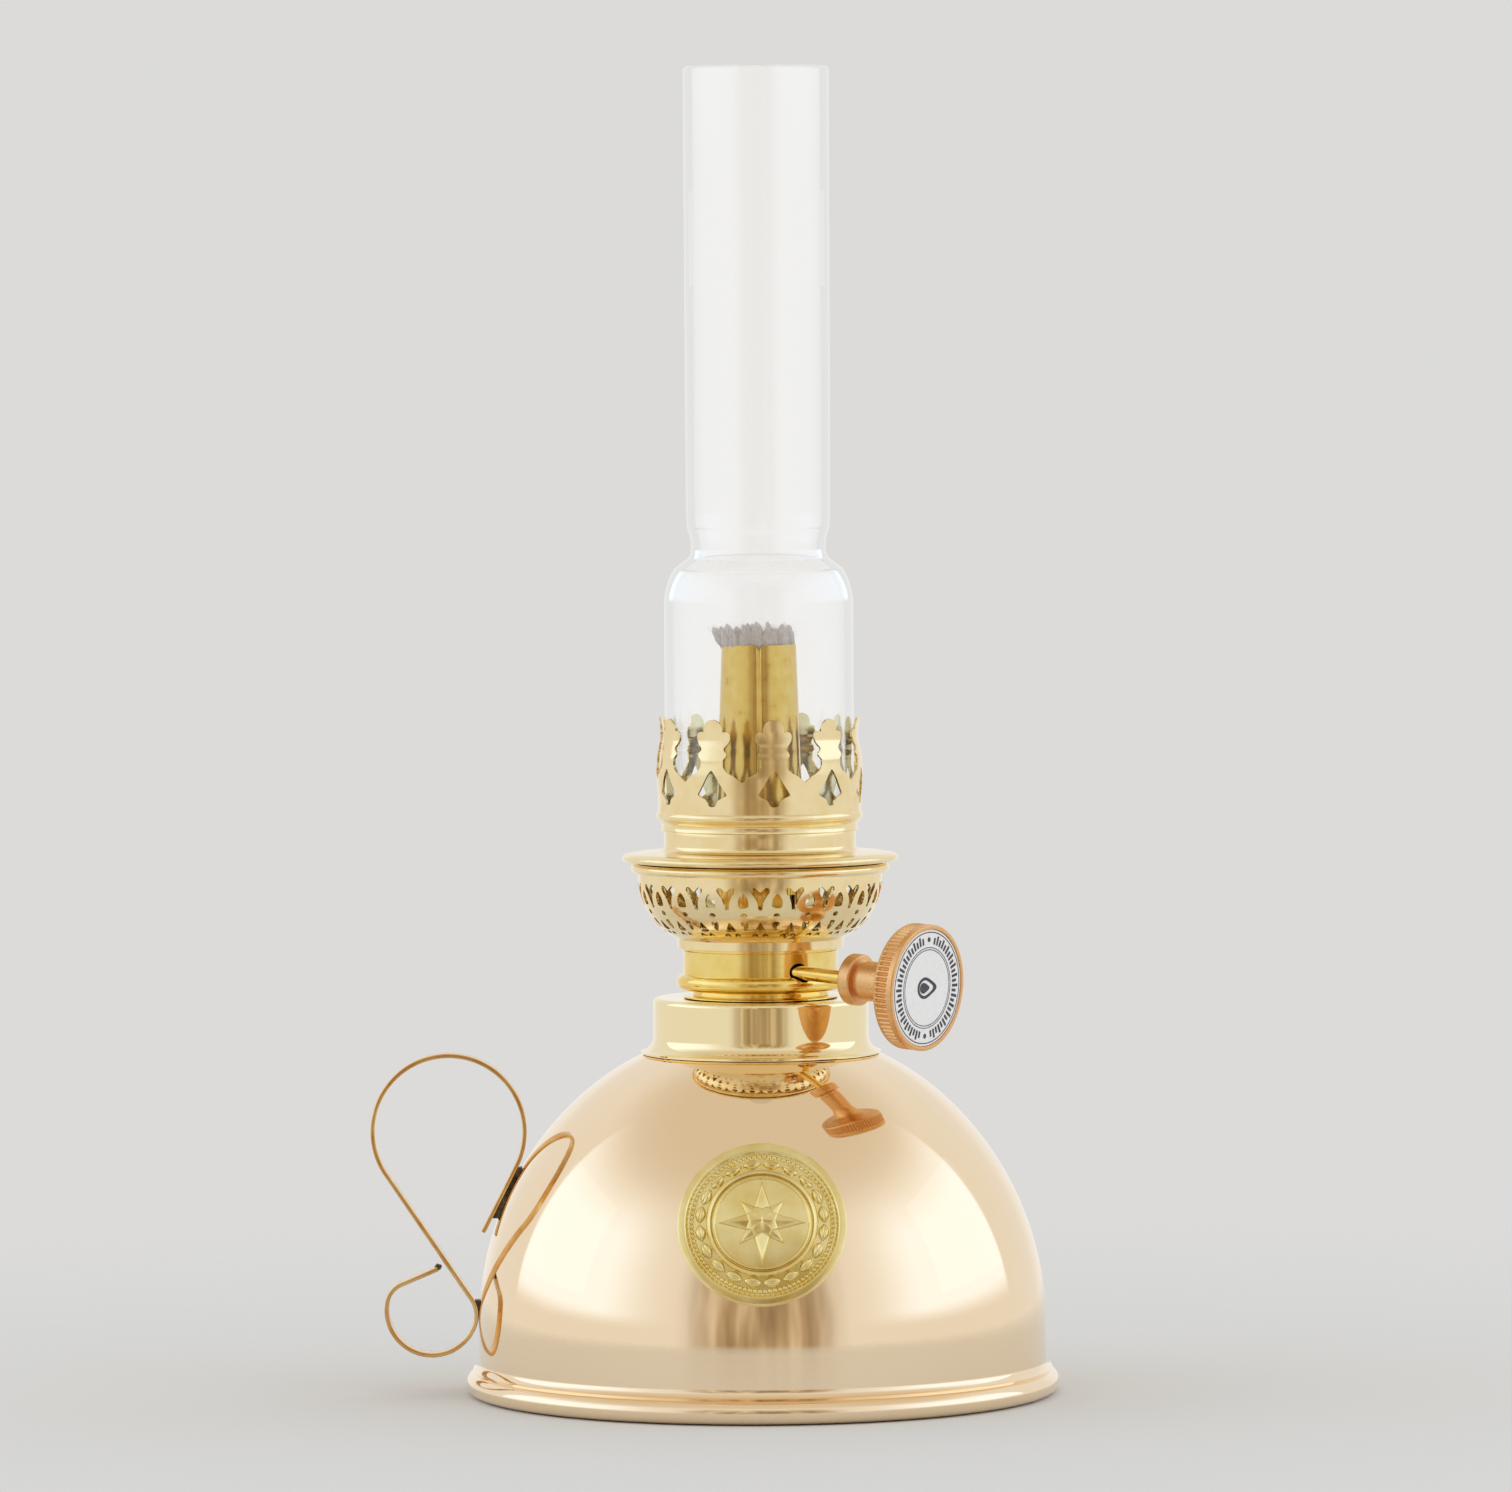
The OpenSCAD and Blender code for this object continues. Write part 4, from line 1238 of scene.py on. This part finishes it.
face = lathe("enamel", [(0.001, FACE_S), (10.4, FACE_S), (10.42, FACE_S + 0.2), (10.3, FACE_S + 0.3),
                        (0.001, FACE_S + 0.3)], ENAMEL, 128, ON_SHAFT)
rings = [lathe("ring", [(r - w, INK_LOW), (r, INK_LOW), (r, INK_HIGH), (r - w, INK_HIGH)],
               INK, 128, ON_SHAFT) for r, w in ((10.0, 0.18), (7.25, 0.14), (6.85, 0.14))]
quarter = math.pi / 2
rays = [ray(i * math.pi / 30, 7.8, 9.45 if i % 2 else 9.0, 0.5) for i in range(60)
        if min(abs(i * math.pi / 30 - k) for k in (0, math.pi, 2 * math.pi)) > 0.16]
dots = [[(sx * 8.6 + 0.45 * math.cos(a * quarter / 4), 0.45 * math.sin(a * quarter / 4)) for a in range(16)]
        for sx in (-1, 1)]
drop = rounded([(0, 3.6), (1.5, 1.0), (2.1, -0.8), (1.3, -2.5), (0, -3.0), (-1.3, -2.5), (-2.1, -0.8),
                (-1.5, 1.0)], 3)
inner_drop = [(0.5 * x, 0.5 * y - 0.7) for x, y in drop]
outline_drop = [[drop[i], drop[(i + 1) % len(drop)], (0.72 * drop[(i + 1) % len(drop)][0],
                 0.72 * drop[(i + 1) % len(drop)][1] - 0.2), (0.72 * drop[i][0], 0.72 * drop[i][1] - 0.2)]
                for i in range(len(drop))]
print_marks = printed("marks", rays + dots + outline_drop + [inner_drop], ON_SHAFT)
label = joined("knob_face", face, *rings, print_marks)
mount(label, "knob", "label", "knob_label")

# %% [markdown]
# ## The pieces that stay as the CAD made them
#
# The base plate, the thread, the washer, the floor, the tubes, the bracket and the wheels are
# plain or hidden, and their CAD shapes are exact. They only need their materials. The same goes
# for the solder, apart from the drop that ran out at the curl's end.

# %% Materials for the CAD nodes
for names, material, slot in (
        (("base_plate", "thread_ring"), STRIP, "base_brass"),
        (("burner_washer",), LEATHER, "washer"),
        (("burner_floor",), BUFFED, "burner_brass"),
        (("draft_tube", "vent_tube", "shaft_bracket", "wick_wheels"), DRAWN, "tube_brass"),
        (("handle_solder",), SOLDER, "solder")):
    for name in names:
        node = frame["nodes"][name]
        node.data.materials.clear()
        node.data.materials.append(material)
        print(name, "->", material.name)

end = strip_line[-1][0]
blob_verts, blob_faces = tuft((end.x, -1.1, end.y + 0.2), (0, 1, 0), 2.2, 0.55)
blob = new_piece("solder_drop", blob_verts, blob_faces + [tuple(range(12))[::-1]], SOLDER)
mount(blob, "font", "solder")

# %% [markdown]
# ## Floor, world and lights
#
# The lamp stands on a pale ground that runs into a pale wall without a line. A polished object
# is lit by what it mirrors, so the room matters: a tall soft light on each side, a darker room
# in front where the viewer is, and a ceiling that is lighter than the front.

# %% Ground that fades into the world
GROUND = "#DCDBD9"
floor_material = bpy.data.materials.new("pale_ground")
floor_material.use_nodes = True
tree = floor_material.node_tree
tree.nodes.clear()
place = add(tree, "ShaderNodeNewGeometry").outputs["Position"]
distance = add(tree, "ShaderNodeVectorMath", {0: place}, operation="LENGTH").outputs["Value"]
fade = add(tree, "ShaderNodeMapRange", {"Value": distance, "From Min": 0.07, "From Max": 0.4},
           interpolation_type="SMOOTHERSTEP").outputs["Result"]
matt = add(tree, "ShaderNodeBsdfDiffuse", {"Color": linear("#ECEEF0")}).outputs["BSDF"]
clear = add(tree, "ShaderNodeBsdfTransparent").outputs["BSDF"]
blend = add(tree, "ShaderNodeMixShader", {0: fade, 1: matt, 2: clear}).outputs["Shader"]
add(tree, "ShaderNodeOutputMaterial", {"Surface": blend})

bpy.ops.mesh.primitive_circle_add(vertices=96, radius=0.65, fill_type="NGON", location=(0, 0, -0.0002))
floor = bpy.context.object
floor.name = "ground"
floor.data.materials.append(floor_material)

# %% World
world = bpy.data.worlds.new("pale_tent")
bpy.context.scene.world = world
world.use_nodes = True
tree = world.node_tree
tree.nodes.clear()


def between(value, start, end):
    """A smooth rise from 0 to 1 between two values. It falls if end is below start."""
    return add(tree, "ShaderNodeMapRange", {"Value": value, "From Min": start, "From Max": end},
               interpolation_type="SMOOTHSTEP").outputs["Result"]


def product(*values):
    """The product of several factors."""
    total = values[0]
    for value in values[1:]:
        total = maths(tree, "MULTIPLY", total, value)
    return total


def layer(share, below, above):
    """Puts a colour over another by a share."""
    return add(tree, "ShaderNodeMix", {0: share, 6: below, 7: above}, data_type="RGBA").outputs[2]


incoming = add(tree, "ShaderNodeNewGeometry").outputs["Incoming"]
look = add(tree, "ShaderNodeVectorMath", {0: incoming, "Scale": -1.0}, operation="SCALE").outputs[0]
up = add(tree, "ShaderNodeSeparateXYZ", {0: look}).outputs["Z"]
flat_look = stretched(tree, look, (1, 1, 0))
level = add(tree, "ShaderNodeVectorMath", {0: flat_look}, operation="NORMALIZE").outputs[0]
level_parts = add(tree, "ShaderNodeSeparateXYZ", {0: level})
behind, sideways = level_parts.outputs["Y"], level_parts.outputs["X"]

fold_place = add(tree, "ShaderNodeCombineXYZ", {"X": sideways, "Y": up}).outputs[0]
fold_place = stretched(tree, fold_place, (7.0, 1.2, 1.0))
folds = add(tree, "ShaderNodeTexNoise", {"Vector": fold_place, "Scale": 1.0, "Detail": 2.0}).outputs["Fac"]
cloth = ramp(tree, folds, (0.3, "#8A745C"), (0.5, "#B5A184"), (0.7, "#DDD0BA"))

glow = product(between(behind, -0.85, -0.3), between(behind, 0.53, 0.5),
               between(up, 0.02, 0.12), between(up, 0.8, 0.45))
gap_share = product(between(behind, -0.8, -0.97), between(up, 0.75, 0.3))
tent = layer(glow, linear("#ECEBE9"), linear("#E2EEFF"))
tent = layer(gap_share, tent, cloth)
tent = layer(between(up, 0.6, 0.92), tent, linear("#DBD2C3"))
wall = product(between(behind, 0.85, 0.96), between(up, 0.35, 0.2), between(up, -0.3, -0.1))
base = add(tree, "ShaderNodeMath", {0: wall, 1: 0.08, 2: 1.0}, operation="MULTIPLY_ADD").outputs[0]
bright = add(tree, "ShaderNodeMath", {0: glow, 1: 0.42, 2: base}, operation="MULTIPLY_ADD").outputs[0]
seen = add(tree, "ShaderNodeLightPath").outputs["Is Camera Ray"]
shown = layer(seen, tent, linear(GROUND))
strength = add(tree, "ShaderNodeMix", {0: seen, 2: bright, 3: 1.0}, data_type="FLOAT").outputs[0]
background = add(tree, "ShaderNodeBackground", {"Color": shown, "Strength": strength}).outputs["Background"]
add(tree, "ShaderNodeOutputWorld", {"Surface": background})


# %% Lights
def soft_light(name, middle, towards, width, height, radiance, colour):
    """A soft box of a given radiance, which is what a mirror shows of it."""
    data = bpy.data.lights.new(name, "AREA")
    data.shape, data.size, data.size_y = "RECTANGLE", width, height
    data.energy = radiance * math.pi * width * height
    data.color = linear(colour)[:3]
    light = bpy.data.objects.new(name, data)
    light.location = middle
    aim = Vector(towards) - Vector(middle)
    light.rotation_euler = aim.to_track_quat("-Z", "Y").to_euler()
    bpy.context.scene.collection.objects.link(light)
    return light


soft_light("left_box", (-1.1, 0.2, 0.5), (0.0, 0.2, 0.3), 0.9, 0.6, 0.06, "#D8E6FF")
soft_light("right_box", (1.1, 0.2, 0.5), (0.0, 0.2, 0.3), 0.9, 0.6, 0.06, "#D8E6FF")
print("world and lights are set")

# %% [markdown]
# ## Camera
#
# The view is from the front, from a little above the middle of the lamp, with a long lens, so
# that the lamp's verticals stay parallel.

# %% Camera
camera_data = bpy.data.cameras.new("front_view")
camera_data.lens = 211.8
PITCH_DOWN, ROLL = 2.45, -0.32
camera = bpy.data.objects.new("front_view", camera_data)
camera.location = (-0.0006, -1.6, 0.185)
camera.rotation_euler = (Matrix.Rotation(math.radians(90 - PITCH_DOWN), 3, "X")
                         @ Matrix.Rotation(math.radians(ROLL), 3, "Z")).to_euler()
bpy.context.scene.collection.objects.link(camera)
bpy.context.scene.camera = camera
bpy.context.scene.view_settings.view_transform = "Standard"
